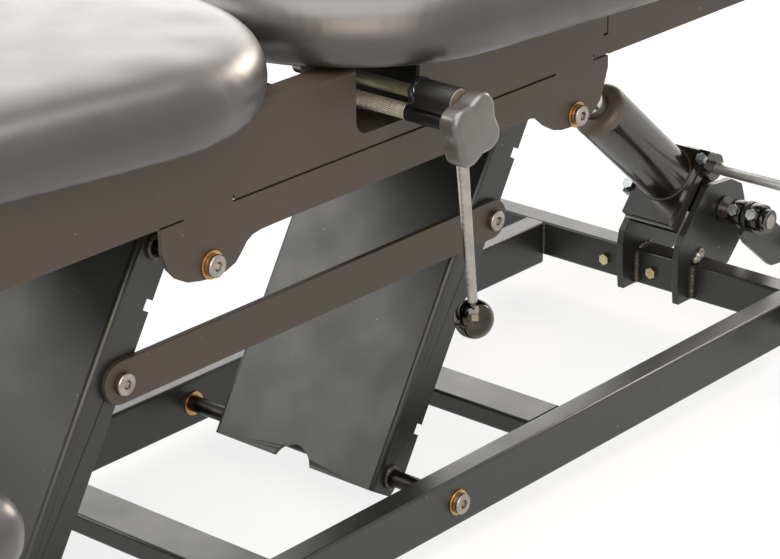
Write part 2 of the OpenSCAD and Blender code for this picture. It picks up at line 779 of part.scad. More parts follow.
chest_foot_x = chest_seam_x - seam_gap / 2;
chest_head_x = -half_length + head_long + head_gap;
pelvic_head_x = chest_seam_x + seam_gap / 2;
pelvic_foot_x = leg_seam_x - seam_gap / 2;
leg_head_x = leg_seam_x + seam_gap / 2;
leg_end_x = half_length;
leg_corner = 90;
head_corner = 70;
chest_corner = 80;

module chest_board()
  color(timber) board(chest_head_x, chest_foot_x, chest_head_half, chest_half, chest_corner, plan_corner,
    frame_top);

module chest_cushion()
  color(vinyl) cushion(chest_head_x, chest_foot_x, chest_head_half, chest_half, chest_corner, plan_corner,
    cushion_z, cushion_thick, shoulder, board_inset);

module leg_board()
  color(timber) board(leg_head_x, leg_end_x, pelvic_foot_half, leg_end_half, leg_corner, leg_corner,
    frame_top);

module leg_cushion()
  color(vinyl) cushion(leg_head_x, leg_end_x, pelvic_foot_half, leg_end_half, leg_corner, leg_corner,
    cushion_z, cushion_thick, shoulder, board_inset);

module pelvic_board()
  color(timber) board(pelvic_head_x, pelvic_foot_x, pelvic_half, pelvic_foot_half, plan_corner, leg_corner,
    cushion_z);

module pelvic_cushion()
  color(vinyl) cushion(pelvic_head_x, pelvic_foot_x, pelvic_half, pelvic_foot_half, plan_corner, leg_corner,
    cushion_z + soft_gap, cushion_thick, shoulder, board_inset);

// Hinge of the drop section, at its foot end
hinge_drop = 13;
hinge_x = leg_seam_x - hinge_back;
hinge_z = frame_top - hinge_drop;
hinge_pin_d = 8;
knuckle_d = 15;
hinge_half = 118;
hinge_ear = 8;
leaf_half = 108;
leaf_long = 70;
leaf_thick = 4;
ear_wide = 34;

module pelvic_hinge_base()
  color(steel) {
    for (s = [-1, 1])
      side_extrude(s > 0 ? hinge_half - hinge_ear : -hinge_half, hinge_ear) {
        translate([hinge_x, hinge_z]) circle(d = knuckle_d);
        polygon([[hinge_x - knuckle_d / 2, hinge_z], [hinge_x + knuckle_d / 2, hinge_z],
          [jack_cross_x - cross_wide / 2 + ear_wide, jack_cross_z + member_tall / 2],
          [jack_cross_x - cross_wide / 2, jack_cross_z + member_tall / 2]]);
      }
    y_rod(hinge_x, hinge_z, -hinge_half, hinge_half, hinge_pin_d);
  }

module pelvic_hinge_leaf()
  color(steel) difference() {
    union() {
      block([hinge_x - leaf_long, -leaf_half, cushion_z - leaf_thick], [hinge_x, leaf_half, cushion_z]);
      block([hinge_x - knuckle_d / 2, -leaf_half, hinge_z], [hinge_x, leaf_half, cushion_z]);
      y_rod(hinge_x, hinge_z, -leaf_half, leaf_half, knuckle_d);
    }
    y_rod(hinge_x, hinge_z, -plate_in, plate_in, hinge_pin_d + 2 * run_gap);
  }

// Cocking lever: cam shaft, welded sleeves, rod and ball
cam_shaft_near = -225;
cam_shaft_far = 112;
lower_sleeve_y = [-242.5, -194];
upper_sleeve_y = [-247, -204];
lower_sleeve_d = 15.6;
upper_sleeve_d = 27;
plain_d = 10;
lever_y = -237;
lever_side = 13.4;
lever_up = 8;
lever_tilt = 6.94;
rod_top_d = 11.6;
rod_end_d = 8.8;
ball_seat = 6;

module cam_shaft()
  color(bright) y_rod(drop_x, cam_z, cam_shaft_near, cam_shaft_far, cam_shaft_d);

module sleeve_rods() {
  y_rod(drop_x, drop_z, lower_sleeve_y[0], lower_sleeve_y[1], lower_sleeve_d);
  y_rod(drop_x, cam_z, upper_sleeve_y[0], upper_sleeve_y[1], upper_sleeve_d);
}

module lever_sleeves()
  color(steel) difference() {
    sleeve_rods();
    y_rod(drop_x, drop_z, lower_sleeve_y[0] - overrun, lower_sleeve_y[1] + overrun,
      plain_d + 2 * run_gap);
    y_rod(drop_x, cam_z, cam_shaft_near, upper_sleeve_y[1] + overrun, cam_shaft_d);
  }

module down_the_lever()
  translate([drop_x + lever_side, lever_y, drop_z]) rotate([0, 180 - lever_tilt, 0]) children();

rod_long = lever_up + lever_long - ball_d / 2 + ball_seat;

module lever_rod()
  color(steel) difference() {
    down_the_lever() translate([0, 0, -lever_up]) cylinder(d1 = rod_top_d, d2 = rod_end_d, h = rod_long);
    sleeve_rods();
  }

rod_slope = (rod_top_d - rod_end_d) * (ball_seat + overrun) / rod_long;

module lever_ball()
  color(bright) down_the_lever() translate([0, 0, lever_long]) difference() {
    sphere(d = ball_d);
    translate([0, 0, -ball_d / 2 - overrun])
      cylinder(d1 = rod_end_d + rod_slope, d2 = rod_end_d, h = ball_seat + overrun);
  }

cam_y = 76;
cam_thick = 10;
cam_low = 17.5;
cam_lift = 10;
cam_turn = 60;
cam_steps = 12;
cam_heel = 10;

module lift_cams()
  color(bright) for (s = [-1, 1])
    side_extrude(s * cam_y - cam_thick / 2, cam_thick) difference() {
      union() {
        translate([drop_x, cam_z]) circle(cam_heel);
        translate([drop_x, cam_z]) polygon(concat([[0, -cam_heel / 2], [cam_heel / 2, -cam_heel / 2]],
          [for (i = [0:cam_steps]) let (a = 90 - cam_turn + cam_turn * i / cam_steps,
            r = cam_low + cam_lift * (cam_steps - i) / cam_steps) [r * cos(a), r * sin(a)]],
          [[-cam_heel / 2, cam_low * 0.8], [-cam_heel / 2, 0]]));
      }
      translate([drop_x, cam_z]) circle(d = cam_shaft_d);
    }

// Tension knob on its knurled rod
knob_y = [-270, -249.5];
knob_skin = 6;
knob_turn = 63;
rod_inner_y = -125;
knob_lobe_r = knob_d * 0.2;
knob_hub_r = knob_d * 0.37;

module star_knob()
  color(vinyl) difference() {
    side_extrude(knob_y[0], knob_y[1] - knob_y[0]) translate([drop_x, drop_z]) {
      circle(knob_hub_r);
      for (i = [0:3])
        rotate(knob_turn + 90 * i) translate([knob_d / 2 - knob_lobe_r, 0]) circle(knob_lobe_r);
    }
    y_rod(drop_x, drop_z, knob_y[0] + knob_skin, knob_y[1] + overrun, plain_d);
  }

module tension_rod()
  color(bright) {
    y_rod(drop_x, drop_z, knob_y[0] + knob_skin, lower_sleeve_y[1] + side_gap + overrun, plain_d);
    side_extrude(lower_sleeve_y[1] + side_gap, rod_inner_y - lower_sleeve_y[1] - side_gap)
      translate([drop_x, drop_z]) circle(d = tension_d, $fn = 12);
  }

// Head section: slide, hinge, board and a cushion round the face opening
bracket_back = 47;
slide_bracket_x = -half_length + head_long - bracket_back;
slide_bracket_wide = 24;
slide_bracket_half = 78;
slide_bracket_tall = 26;
slide_seat = 14;
tilt_drop = 30;
tilt_z = frame_top - tilt_drop;
tilt_pin_d = 10;
tilt_ear = 8;
tilt_ear_wide = 32;
tilt_plate = 60;
slot_long = 180;
slot_wide = 96;
slot_corner = 40;
slot_margin = 16;
head_inner_x = -half_length + head_long;
face_shift = 10;
face_x = (-half_length + head_inner_x) / 2 + face_shift;
head_shoulder = 34;

module head_slide_rods()
  color(bright) for (s = [-1, 1])
    translate([slide_bracket_x - slide_bracket_wide / 2 + slide_seat / 2, s * slide_y, slide_z])
      rotate([0, 90, 0]) cylinder(d = slide_d, h = slide_inner_x - slide_bracket_x);

module head_hinge_bracket()
  color(steel) {
    difference() {
      block([slide_bracket_x - slide_bracket_wide / 2, -slide_bracket_half,
          slide_z - slide_bracket_tall / 2],
        [slide_bracket_x + slide_bracket_wide / 2, slide_bracket_half,
          slide_z + slide_bracket_tall / 2]);
      for (s = [-1, 1])
        translate([slide_bracket_x - slide_bracket_wide / 2 + slide_seat / 2, s * slide_y, slide_z])
          rotate([0, 90, 0]) cylinder(d = slide_d, h = slide_bracket_wide);
    }
    for (s = [-1, 1])
      y_rod(slide_bracket_x, tilt_z,
        s > 0 ? slide_bracket_half - overrun : -slide_bracket_half - 2 * tilt_ear,
        s > 0 ? slide_bracket_half + 2 * tilt_ear : overrun - slide_bracket_half, tilt_pin_d);
  }

module head_hinge_leaf()
  color(steel) {
    for (s = [-1, 1])
      side_extrude(s > 0 ? slide_bracket_half + side_gap : -slide_bracket_half - side_gap - tilt_ear,
          tilt_ear)
        difference() {
          union() {
            translate([slide_bracket_x, tilt_z]) circle(d = tilt_ear_wide * 0.75);
            translate([slide_bracket_x - tilt_ear_wide * 0.375, tilt_z])
              square([tilt_ear_wide * 0.75, frame_top - tilt_z - leaf_thick / 2]);
          }
          translate([slide_bracket_x, tilt_z]) circle(d = tilt_pin_d + 2 * run_gap);
        }
    block([slide_bracket_x - tilt_plate / 4, -slide_bracket_half - side_gap - tilt_ear,
        frame_top - leaf_thick],
      [slide_bracket_x + tilt_ear_wide / 2, slide_bracket_half + side_gap + tilt_ear, frame_top]);
  }

function face_plan(grow) =
  plan(face_x - slot_long / 2 - grow, face_x + slot_long / 2 + grow, slot_wide / 2 + grow,
    slot_wide / 2 + grow, slot_corner + grow, slot_corner + grow, 0);

function head_plan(inset) =
  plan(-half_length, head_inner_x, head_half, head_half, head_corner, head_corner, inset);

module head_board()
  color(timber) translate([0, 0, frame_top]) linear_extrude(board_thick) difference() {
    polygon(head_plan(board_inset));
    polygon(face_plan(slot_margin));
  }

// The pad's section runs from the board's outer rim round the outside, over the top and down the opening
head_rise_share = [0.03, 0.17, 0.39, 0.65, 0.78, 0.88, 0.95, 1];
head_in_share = [0.5, 0.28, 0.09, 0, 0.08, 0.3, 0.68, 1.35];
face_rise_share = [1, 0.96, 0.86, 0.65, 0.35, 0.03];
face_in_share = [0.62, 0.3, 0.1, 0, 0.02, 0.1];

module head_cushion()
  color(vinyl) {
    rings = concat(
      [at_height(head_plan(board_inset - soft_gap), frame_top + board_thick + soft_gap),
        at_height(head_plan(board_inset - soft_gap), cushion_z)],
      [for (i = [0:len(head_rise_share) - 1])
        at_height(head_plan(head_in_share[i] * head_shoulder),
          cushion_z + head_rise_share[i] * cushion_thick)],
      [for (i = [0:len(face_rise_share) - 1])
        at_height(face_plan(face_in_share[i] * head_shoulder),
          cushion_z + face_rise_share[i] * cushion_thick)],
      [at_height(face_plan(slot_margin - soft_gap), cushion_z),
        at_height(face_plan(slot_margin - soft_gap), frame_top + board_thick + soft_gap)]);
    n = len(rings[0]);
    polyhedron(points = [for (r = rings) each r],
      faces = [for (k = [0:len(rings) - 1]) each [for (f = band(k, n))
        [f[2] % (n * len(rings)), f[1] % (n * len(rings)), f[0]]]]);
  }

// Jack, drawn along its axis from the pivot shaft
knuckle_half_y = 25;
knuckle_r = 24;
flange_low = 51;
flange_mid = 61;
flange_high = 72;
flange_z = [-37, 55];
flange_y = 32;
upper_inset = 1.5;
near_lug = [-41, -28, -37, -19];
far_lug = [27, 41, 13, 31];
jack_bolt_at = [[-36, -26], [36, 22]];
jack_bolt_long = 17;
pump_s = 45.9;
pump_t = -29.5;
pump_boss_d = 30;
pump_boss_y = -39;
pump_y = -12;
cap_tall = 6;
cap_drop = 2;
bore_floor = 12;
ram_foot = 24;

module along_jack()
  along_leg(jack_x, jack_z, 180 - jack_angle) children();

module jack_cylinder()
  color(steel) along_jack() translate([0, jack_y, 0]) rotate([0, 90, 0]) difference() {
    union() {
      translate([0, 0, flange_high]) cylinder(d = cylinder_d, h = cylinder_top - cap_tall - flange_high);
      translate([0, 0, cylinder_top - cap_tall - overrun])
        cylinder(d = cylinder_d - cap_drop, h = overrun);
      translate([0, 0, cylinder_top - cap_tall])
        cylinder(d1 = cylinder_d, d2 = cylinder_d - 2 * cap_tall, h = cap_tall);
    }
    translate([0, 0, flange_high + bore_floor - overrun])
      cylinder(d = ram_d + 2 * run_gap, h = cylinder_top);
  }

module jack_flange()
  color(steel) along_jack() difference() {
    union() {
      block([flange_low, jack_y - flange_y, flange_z[0]],
        [flange_mid - side_gap, jack_y + flange_y, flange_z[1]]);
      block([flange_mid - overrun, jack_y - flange_y + upper_inset, flange_z[0] + upper_inset],
        [flange_high, jack_y + flange_y - upper_inset, flange_z[1] - upper_inset]);
      block([0, jack_y - knuckle_half_y, -knuckle_r],
        [flange_low + overrun, jack_y + knuckle_half_y, knuckle_r]);
      y_rod(0, 0, jack_y - knuckle_half_y, jack_y + knuckle_half_y, 2 * knuckle_r);
      y_rod(pump_s, pump_t, jack_y + pump_boss_y, jack_y, pump_boss_d);
      block([flange_low, jack_y + near_lug[0], near_lug[2]],
        [flange_high, jack_y + near_lug[1], near_lug[3]]);
      block([flange_mid, jack_y + far_lug[0], far_lug[2]],
        [flange_high, jack_y + far_lug[1], far_lug[3]]);
    }
    y_rod(0, 0, -plate_in, plate_in, shaft_d + 2 * run_gap);
    y_rod(pump_s, pump_t, -plate_in, pump_y + side_gap, pump_d + 2 * run_gap);
    for (b = jack_bolt_at)
      translate([flange_high - jack_bolt_long, jack_y + b[0], b[1]]) rotate([0, 90, 0])
        cylinder(d = zinc_d, h = flange_high);
  }

module jack_bolts()
  color(zinc) along_jack() for (b = jack_bolt_at)
    translate([flange_high, jack_y + b[0], b[1]]) rotate([0, 90, 0])
      hex_bolt(zinc_head_d, zinc_head, zinc_d, jack_bolt_long);

ram_held = 27;
ram_low = cylinder_top - ram_held;

module jack_ram()
  color(bright) along_jack() {
    translate([ram_low, jack_y, 0]) rotate([0, 90, 0])
      cylinder(d = ram_d, h = ram_reach - ram_low - ram_eye_d / 4);
    y_rod(ram_reach, 0, jack_y - ram_eye_wide / 2, jack_y + ram_eye_wide / 2, ram_eye_d * 0.9);
    y_rod(ram_reach, 0, jack_y - bracket_half - bracket_thick - 2 * side_gap - overrun,
      jack_y + bracket_half + bracket_thick + 2 * side_gap + overrun, ram_pin_d);
  }

// Pump shaft, turning in a boss on the jack, with a crank and a tread at its outer end
pump_x = jack_x - pump_s * cos(jack_angle) - pump_t * sin(jack_angle);
pump_z = jack_z + pump_s * sin(jack_angle) - pump_t * cos(jack_angle);
pump_end_y = -335;
crank_wide = 22;
crank_thick = 8;
crank_long = 110;
crank_fall = 25;
tread_long = 60;
tread_wide = 44;
tread_thick = 8;

module pump_lever()
  color(bright) {
    y_rod(pump_x, pump_z, pump_end_y, pump_y, pump_d);
    side_extrude(pump_end_y, crank_thick) translate([pump_x, pump_z]) rotate(-crank_fall) {
      circle(d = crank_wide);
      translate([0, -crank_wide / 2]) square([crank_long, crank_wide]);
    }
    translate([pump_x, 0, pump_z]) rotate([0, crank_fall, 0])
      block([crank_long - tread_wide, pump_end_y, crank_wide / 2 - tread_thick],
        [crank_long, pump_end_y + tread_long, crank_wide / 2]);
  }

// Release arm on the pivot shaft
arm_y = -84;
arm_thick = 6;
release_hub_d = 34;
release_share = [[-0.2, -0.15], [0.1, 0.13], [0.41, -0.14], [0.57, -0.27], [1, -0.6],
  [1, -0.72], [0.62, -0.72], [0.44, -0.7], [0.39, -0.67], [-0.1, -0.28]];
release_tread = 60;
release_tread_wide = 46;

module release_arm()
  color(steel) {
    side_extrude(arm_y, arm_thick) difference() {
      union() {
        polygon([for (p = release_share) [jack_x + p[0] * clevis_reach, jack_z + p[1] * clevis_reach]]);
        translate([jack_x, jack_z]) circle(d = release_hub_d);
      }
      translate([jack_x, jack_z]) circle(d = shaft_d + 2 * run_gap);
    }
    block([jack_x + clevis_reach * 0.86, arm_y - release_tread / 2, jack_z - clevis_reach * 0.64],
      [jack_x + clevis_reach * 0.86 + release_tread_wide, arm_y + release_tread / 2,
        jack_z - clevis_reach * 0.64 + arm_thick]);
  }

// Arm rests
post_in = 28;
post_x = plate_head_x + post_in;
post_y = 186;
post_d = 16;
socket_half = 18;
socket_drop = 22;
socket_tall = 44;
socket_top = frame_top - socket_drop;
socket_low = socket_top - socket_tall;
post_low = 339;
arm_bar_thick = 8;
arm_bar_wide = 34;
arm_board = 9;
arm_pad_ahead = 228;
arm_pad_mid_x = post_x - arm_pad_ahead;
arm_out_y = 400;
arm_pad_mid_y = arm_out_y - arm_pad_wide / 2;
arm_pad_corner = 34;
arm_depth = 16;
post_cap = 4;

module armrest_socket(side)
  difference() {
    block([post_x - socket_half, side > 0 ? plate_out : -post_y - socket_half, socket_low],
      [post_x + socket_half, side > 0 ? post_y + socket_half : -plate_out, socket_top]);
    translate([post_x, side * post_y, socket_low - overrun])
      cylinder(d = post_d + 2 * run_gap, h = socket_top - socket_low + 2 * overrun);
  }

module armrest_sockets()
  color(steel) {
    armrest_socket(-1);
    armrest_socket(1);
  }

arm_turn = atan2(arm_pad_mid_y - post_y, post_x - arm_pad_mid_x);
arm_reach = sqrt(pow(arm_pad_mid_y - post_y, 2) + pow(post_x - arm_pad_mid_x, 2));

module armrest_arm(side)
  color(steel) {
    translate([post_x, side * post_y, post_low - arm_bar_thick])
      cylinder(d = post_d, h = socket_top - post_low + arm_bar_thick + side_gap + post_cap / 2);
    translate([post_x, side * post_y, socket_top + side_gap])
      cylinder(d = post_d + 2 * post_cap, h = post_cap);
    translate([post_x, side * post_y, post_low - arm_bar_thick]) rotate([0, 0, side * (180 - arm_turn)])
      linear_extrude(arm_bar_thick + arm_board / 4) {
        translate([0, -arm_bar_wide / 2]) square([arm_reach, arm_bar_wide]);
        circle(d = arm_bar_wide);
        translate([arm_reach, 0]) circle(d = arm_bar_wide);
      }
    translate([0, side * arm_pad_mid_y, post_low]) linear_extrude(arm_board)
      polygon(plan(arm_pad_mid_x - arm_pad_long / 2, arm_pad_mid_x + arm_pad_long / 2,
        arm_pad_wide / 2, arm_pad_wide / 2, arm_pad_corner, arm_pad_corner, arm_depth));
  }

module armrest_arm_near() armrest_arm(-1);

module armrest_arm_far() armrest_arm(1);

module armrest_pad(side)
  color(vinyl) translate([0, side * arm_pad_mid_y, 0])
    cushion(arm_pad_mid_x - arm_pad_long / 2, arm_pad_mid_x + arm_pad_long / 2, arm_pad_wide / 2,
      arm_pad_wide / 2, arm_pad_corner, arm_pad_corner, post_low + arm_board + soft_gap, arm_pad_thick,
      arm_depth, 0);

module armrest_pad_near() armrest_pad(-1);

module armrest_pad_far() armrest_pad(1);

base_rail_near();
base_rail_far();
base_cross_tubes();
base_foot_bar_head();
base_foot_bar_pump();
base_bushes();
foot_stems();
foot_pads();
jack_clevis();
zinc_bolts();
collar_bolts();
jack_pivot_shaft();
shaft_collars();
front_leg_plate();
front_leg_shafts();
front_shaft_screws();
tie_pin_front();
rear_leg_plate();
rear_leg_shafts();
rear_shaft_screws();
tie_pin_rear();
tie_bar();
side_plate_near();
side_plate_far();
frame_cross_head();
drop_carrier();
jack_cross();
frame_cross_foot();
frame_bushes();
chest_board();
chest_cushion();
leg_board();
leg_cushion();
armrest_sockets();
pelvic_hinge_base();
pelvic_hinge_leaf();
pelvic_board();
pelvic_cushion();
cam_shaft();
lever_sleeves();
lever_rod();
lever_ball();
lift_cams();
star_knob();
tension_rod();
head_slide_rods();
head_hinge_bracket();
head_hinge_leaf();
head_board();
head_cushion();
jack_cylinder();
jack_flange();
jack_bolts();
jack_ram();
pump_lever();
release_arm();
armrest_arm_near();
armrest_pad_near();
armrest_arm_far();
armrest_pad_far();
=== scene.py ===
import bpy, bmesh, math
import numpy as np
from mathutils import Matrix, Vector, noise
from mathutils.bvhtree import BVHTree


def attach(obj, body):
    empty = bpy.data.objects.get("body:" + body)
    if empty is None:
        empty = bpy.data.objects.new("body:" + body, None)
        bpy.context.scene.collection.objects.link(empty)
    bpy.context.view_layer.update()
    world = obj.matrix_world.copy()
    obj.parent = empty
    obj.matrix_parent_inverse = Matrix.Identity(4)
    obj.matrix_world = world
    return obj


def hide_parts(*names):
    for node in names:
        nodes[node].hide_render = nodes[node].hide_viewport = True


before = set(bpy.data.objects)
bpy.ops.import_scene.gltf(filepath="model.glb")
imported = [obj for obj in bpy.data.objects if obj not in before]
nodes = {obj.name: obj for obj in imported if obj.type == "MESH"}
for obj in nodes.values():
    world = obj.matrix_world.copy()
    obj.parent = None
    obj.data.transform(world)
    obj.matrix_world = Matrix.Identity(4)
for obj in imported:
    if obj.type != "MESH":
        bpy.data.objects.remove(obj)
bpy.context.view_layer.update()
scene = bpy.context.scene
print("frame loaded", len(nodes), "nodes")


# colours and nodes

def toLinear(hexColour):
    parts = [int(hexColour[i:i + 2], 16) / 255 for i in (1, 3, 5)]
    return tuple(c / 12.92 if c <= 0.04045 else ((c + 0.055) / 1.055) ** 2.4 for c in parts) + (1.0,)


def addNode(tree, kind, inputs=None, **settings):
    node = tree.nodes.new(kind)
    for key, value in settings.items():
        setattr(node, key, value)
    for key, value in (inputs or {}).items():
        if isinstance(value, bpy.types.NodeSocket):
            tree.links.new(value, node.inputs[key])
        else:
            node.inputs[key].default_value = value
    return node


def newMaterial(name, settings):
    material = bpy.data.materials.new(name)
    material.use_nodes = True
    tree = material.node_tree
    tree.nodes.clear()
    output = addNode(tree, "ShaderNodeOutputMaterial")
    shader = addNode(tree, "ShaderNodeBsdfPrincipled")
    tree.links.new(shader.outputs[0], output.inputs[0])
    shader.inputs["Base Color"].default_value = toLinear(settings["colour"])
    shader.inputs["Metallic"].default_value = settings.get("metallic", 0)
    shader.inputs["Roughness"].default_value = settings["roughness"]
    shader.inputs["Specular IOR Level"].default_value = settings.get("specular", 0.5)
    shader.inputs["Coat Weight"].default_value = settings.get("coat", 0)
    shader.inputs["Coat Roughness"].default_value = settings.get("coatRoughness", 0.2)
    place = addNode(tree, "ShaderNodeTexCoord").outputs["Object"]
    material.diffuse_color = toLinear(settings["colour"])
    return material, tree, shader, place


def ramp(tree, value, low, high, fromValue=0.0, toValue=1.0):
    return addNode(tree, "ShaderNodeMapRange", {"Value": value, "From Min": low, "From Max": high,
                                                "To Min": fromValue, "To Max": toValue}).outputs[0]


# grey levels between which nearly all of a noise lies
noiseSpan = (0.3, 0.7)


def grain(tree, place, sizeMm, detail=2, stretch=(1, 1, 1), turn=(0, 0, 0)):
    mapped = addNode(tree, "ShaderNodeMapping", {"Vector": place, "Scale": stretch, "Rotation": turn})
    return addNode(tree, "ShaderNodeTexNoise", {"Vector": mapped.outputs[0], "Scale": 1000 / sizeMm,
                                                "Detail": detail, "Roughness": 0.55}).outputs["Fac"]


def tint(tree, amount, under, over):
    mix = addNode(tree, "ShaderNodeMix", data_type="RGBA")
    tree.links.new(amount, mix.inputs[0])
    for socket, colour in ((mix.inputs[6], under), (mix.inputs[7], over)):
        if isinstance(colour, bpy.types.NodeSocket):
            tree.links.new(colour, socket)
        else:
            socket.default_value = colour
    return mix.outputs[2]


def bump(tree, height, depthMm, strength=1.0, under=None):
    inputs = {"Height": height, "Strength": strength, "Distance": depthMm / 1000}
    if under is not None:
        inputs["Normal"] = under
    return addNode(tree, "ShaderNodeBump", inputs).outputs[0]


def maths(tree, operation, first, second):
    return addNode(tree, "ShaderNodeMath", {0: first, 1: second}, operation=operation).outputs[0]


# finishes; the first dictionary of each kind holds what all its finishes share, and a threshold is the
# grey level of the noise from which a mark begins and is full

coatMarks = {"cloudMm": 60, "scratchMm": 9, "scratchStretch": (1, 0.04, 0.9),
             "scratchTurn": (0.4, 0.7, 0.3), "scratchFrom": 0.765, "scratchFull": 0.79,
             "speckMm": 5, "speckFrom": 0.80, "speckFull": 0.83, "smoother": 0.05, "rougher": 0.07}


def powderCoat(name, settings):
    # polyester powder, sprayed and baked, or brushed enamel: black with a fine orange peel, chips, thin
    # scratches and dust
    material, tree, shader, place = newMaterial(name, settings)
    peel = grain(tree, place, settings["peelMm"], 3)
    cloud = grain(tree, place, coatMarks["cloudMm"], 4)
    scratch = grain(tree, place, coatMarks["scratchMm"], 2, coatMarks["scratchStretch"],
                    coatMarks["scratchTurn"])
    scratch = ramp(tree, scratch, coatMarks["scratchFrom"], coatMarks["scratchFull"])
    speck = grain(tree, place, coatMarks["speckMm"], 1)
    speck = ramp(tree, speck, coatMarks["speckFrom"], coatMarks["speckFull"])
    marks = maths(tree, "MULTIPLY", maths(tree, "MAXIMUM", scratch, speck), settings["wear"])
    colour = tint(tree, cloud, toLinear(settings["colour"]), toLinear(settings["dust"]))
    tree.links.new(tint(tree, marks, colour, toLinear(settings["scuff"])), shader.inputs["Base Color"])
    rough = ramp(tree, cloud, *noiseSpan, settings["roughness"] - coatMarks["smoother"],
                 settings["roughness"] + coatMarks["rougher"])
    tree.links.new(rough, shader.inputs["Roughness"])
    tree.links.new(bump(tree, peel, settings["peelDeepMm"], 0.5), shader.inputs["Normal"])
    return material


metalMarks = {"stainMm": 14, "stainFrom": 0.35, "stainFull": 0.75, "smoother": 0.06, "rougher": 0.1,
              "lineDeepMm": 0.02, "along": (1, 12, 1)}


def turnedMetal(name, settings):
    # bright metal off the lathe or the grinder: fine lines, a little oil staining
    # (real lines are 0.1 to 0.2 mm apart, too fine to show, so they are drawn at 0.5 to 2 mm)
    settings = metalMarks | settings
    material, tree, shader, place = newMaterial(name, settings)
    lines = grain(tree, place, settings["lineMm"], 2, settings["along"])
    stain = grain(tree, place, settings["stainMm"], 3)
    stain = ramp(tree, stain, settings["stainFrom"], settings["stainFull"])
    tree.links.new(tint(tree, stain, toLinear(settings["colour"]), toLinear(settings["stain"])),
                   shader.inputs["Base Color"])
    rough = ramp(tree, lines, *noiseSpan, settings["roughness"] - settings["smoother"],
                 settings["roughness"] + settings["rougher"])
    tree.links.new(rough, shader.inputs["Roughness"])
    tree.links.new(bump(tree, lines, settings["lineDeepMm"], 0.5), shader.inputs["Normal"])
    return material


vinylMarks = {"creaseMm": 45, "scuffMm": 7, "scuffStretch": (1, 0.3, 1), "scuffTurn": (0, 0, 0.6),
              "scuffFrom": 0.79, "scuffFull": 0.82, "scuffShare": 0.45, "smoother": 0.03, "rougher": 0.05,
              "strength": 0.35}


def upholsteryVinyl(name, settings):
    # PVC leathercloth, embossed: low satin gloss, pebbled grain, a few dry scuffs
    material, tree, shader, place = newMaterial(name, settings)
    pebble = addNode(tree, "ShaderNodeTexVoronoi",
                     {"Vector": place, "Scale": 1000 / settings["pebbleMm"], "Randomness": 1.0},
                     feature="SMOOTH_F1").outputs["Distance"]
    crease = grain(tree, place, vinylMarks["creaseMm"], 4)
    scuff = grain(tree, place, vinylMarks["scuffMm"], 2, vinylMarks["scuffStretch"],
                  vinylMarks["scuffTurn"])
    scuff = ramp(tree, scuff, vinylMarks["scuffFrom"], vinylMarks["scuffFull"], 0,
                 vinylMarks["scuffShare"])
    colour = tint(tree, crease, toLinear(settings["colour"]), toLinear(settings["worn"]))
    tree.links.new(tint(tree, scuff, colour, toLinear(settings["scuff"])), shader.inputs["Base Color"])
    rough = ramp(tree, crease, *noiseSpan, settings["roughness"] - vinylMarks["smoother"],
                 settings["roughness"] + vinylMarks["rougher"])
    tree.links.new(rough, shader.inputs["Roughness"])
    soft = bump(tree, crease, settings["creaseDeepMm"], vinylMarks["strength"])
    tree.links.new(bump(tree, pebble, settings["pebbleDeepMm"], vinylMarks["strength"], soft),
                   shader.inputs["Normal"])
    return material


plyMarks = {"figureMm": 22, "figureStretch": (0.12, 1, 1), "fibreMm": 1.2, "fibreStretch": (0.05, 1, 1),
            "fibreDeepMm": 0.05, "waveUnits": 20, "glueFrom": 0.8, "glueFull": 1.0, "glueShare": 0.55}


def birchPly(name, settings):
    # birch plywood, rotary cut: faces darkened as painted shade for the shade under the cushions, with a
    # faint figure, glue lines at the edges
    material, tree, shader, place = newMaterial(name, settings)
    figure = grain(tree, place, plyMarks["figureMm"], 4, plyMarks["figureStretch"])
    figure = ramp(tree, figure, *noiseSpan)
    fibre = grain(tree, place, plyMarks["fibreMm"], 2, plyMarks["fibreStretch"])
    colour = tint(tree, figure, toLinear(settings["colour"]), toLinear(settings["late"]))
    layer = addNode(tree, "ShaderNodeTexWave",
                    {"Vector": place, "Distortion": 0.0,
                     "Scale": 1000 / settings["plyMm"] / plyMarks["waveUnits"]},
                    bands_direction="Z").outputs["Fac"]
    glue = ramp(tree, layer, plyMarks["glueFrom"], plyMarks["glueFull"], 0, plyMarks["glueShare"])
    tree.links.new(tint(tree, glue, colour, toLinear(settings["glue"])), shader.inputs["Base Color"])
    tree.links.new(bump(tree, fibre, plyMarks["fibreDeepMm"], 0.4), shader.inputs["Normal"])
    return material


mouldMarks = {"wearMm": 18, "wearFrom": 0.4, "wearFull": 0.75}


def mouldedPlastic(name, settings):
    # injection moulded or cast: even colour with a spark-eroded skin
    material, tree, shader, place = newMaterial(name, settings)
    skin = grain(tree, place, settings["skinMm"], 2)
    wear = grain(tree, place, mouldMarks["wearMm"], 3)
    wear = ramp(tree, wear, mouldMarks["wearFrom"], mouldMarks["wearFull"])
    tree.links.new(tint(tree, wear, toLinear(settings["colour"]), toLinear(settings["worn"])),
                   shader.inputs["Base Color"])
    tree.links.new(bump(tree, skin, settings["skinDeepMm"], 0.5), shader.inputs["Normal"])
    return material


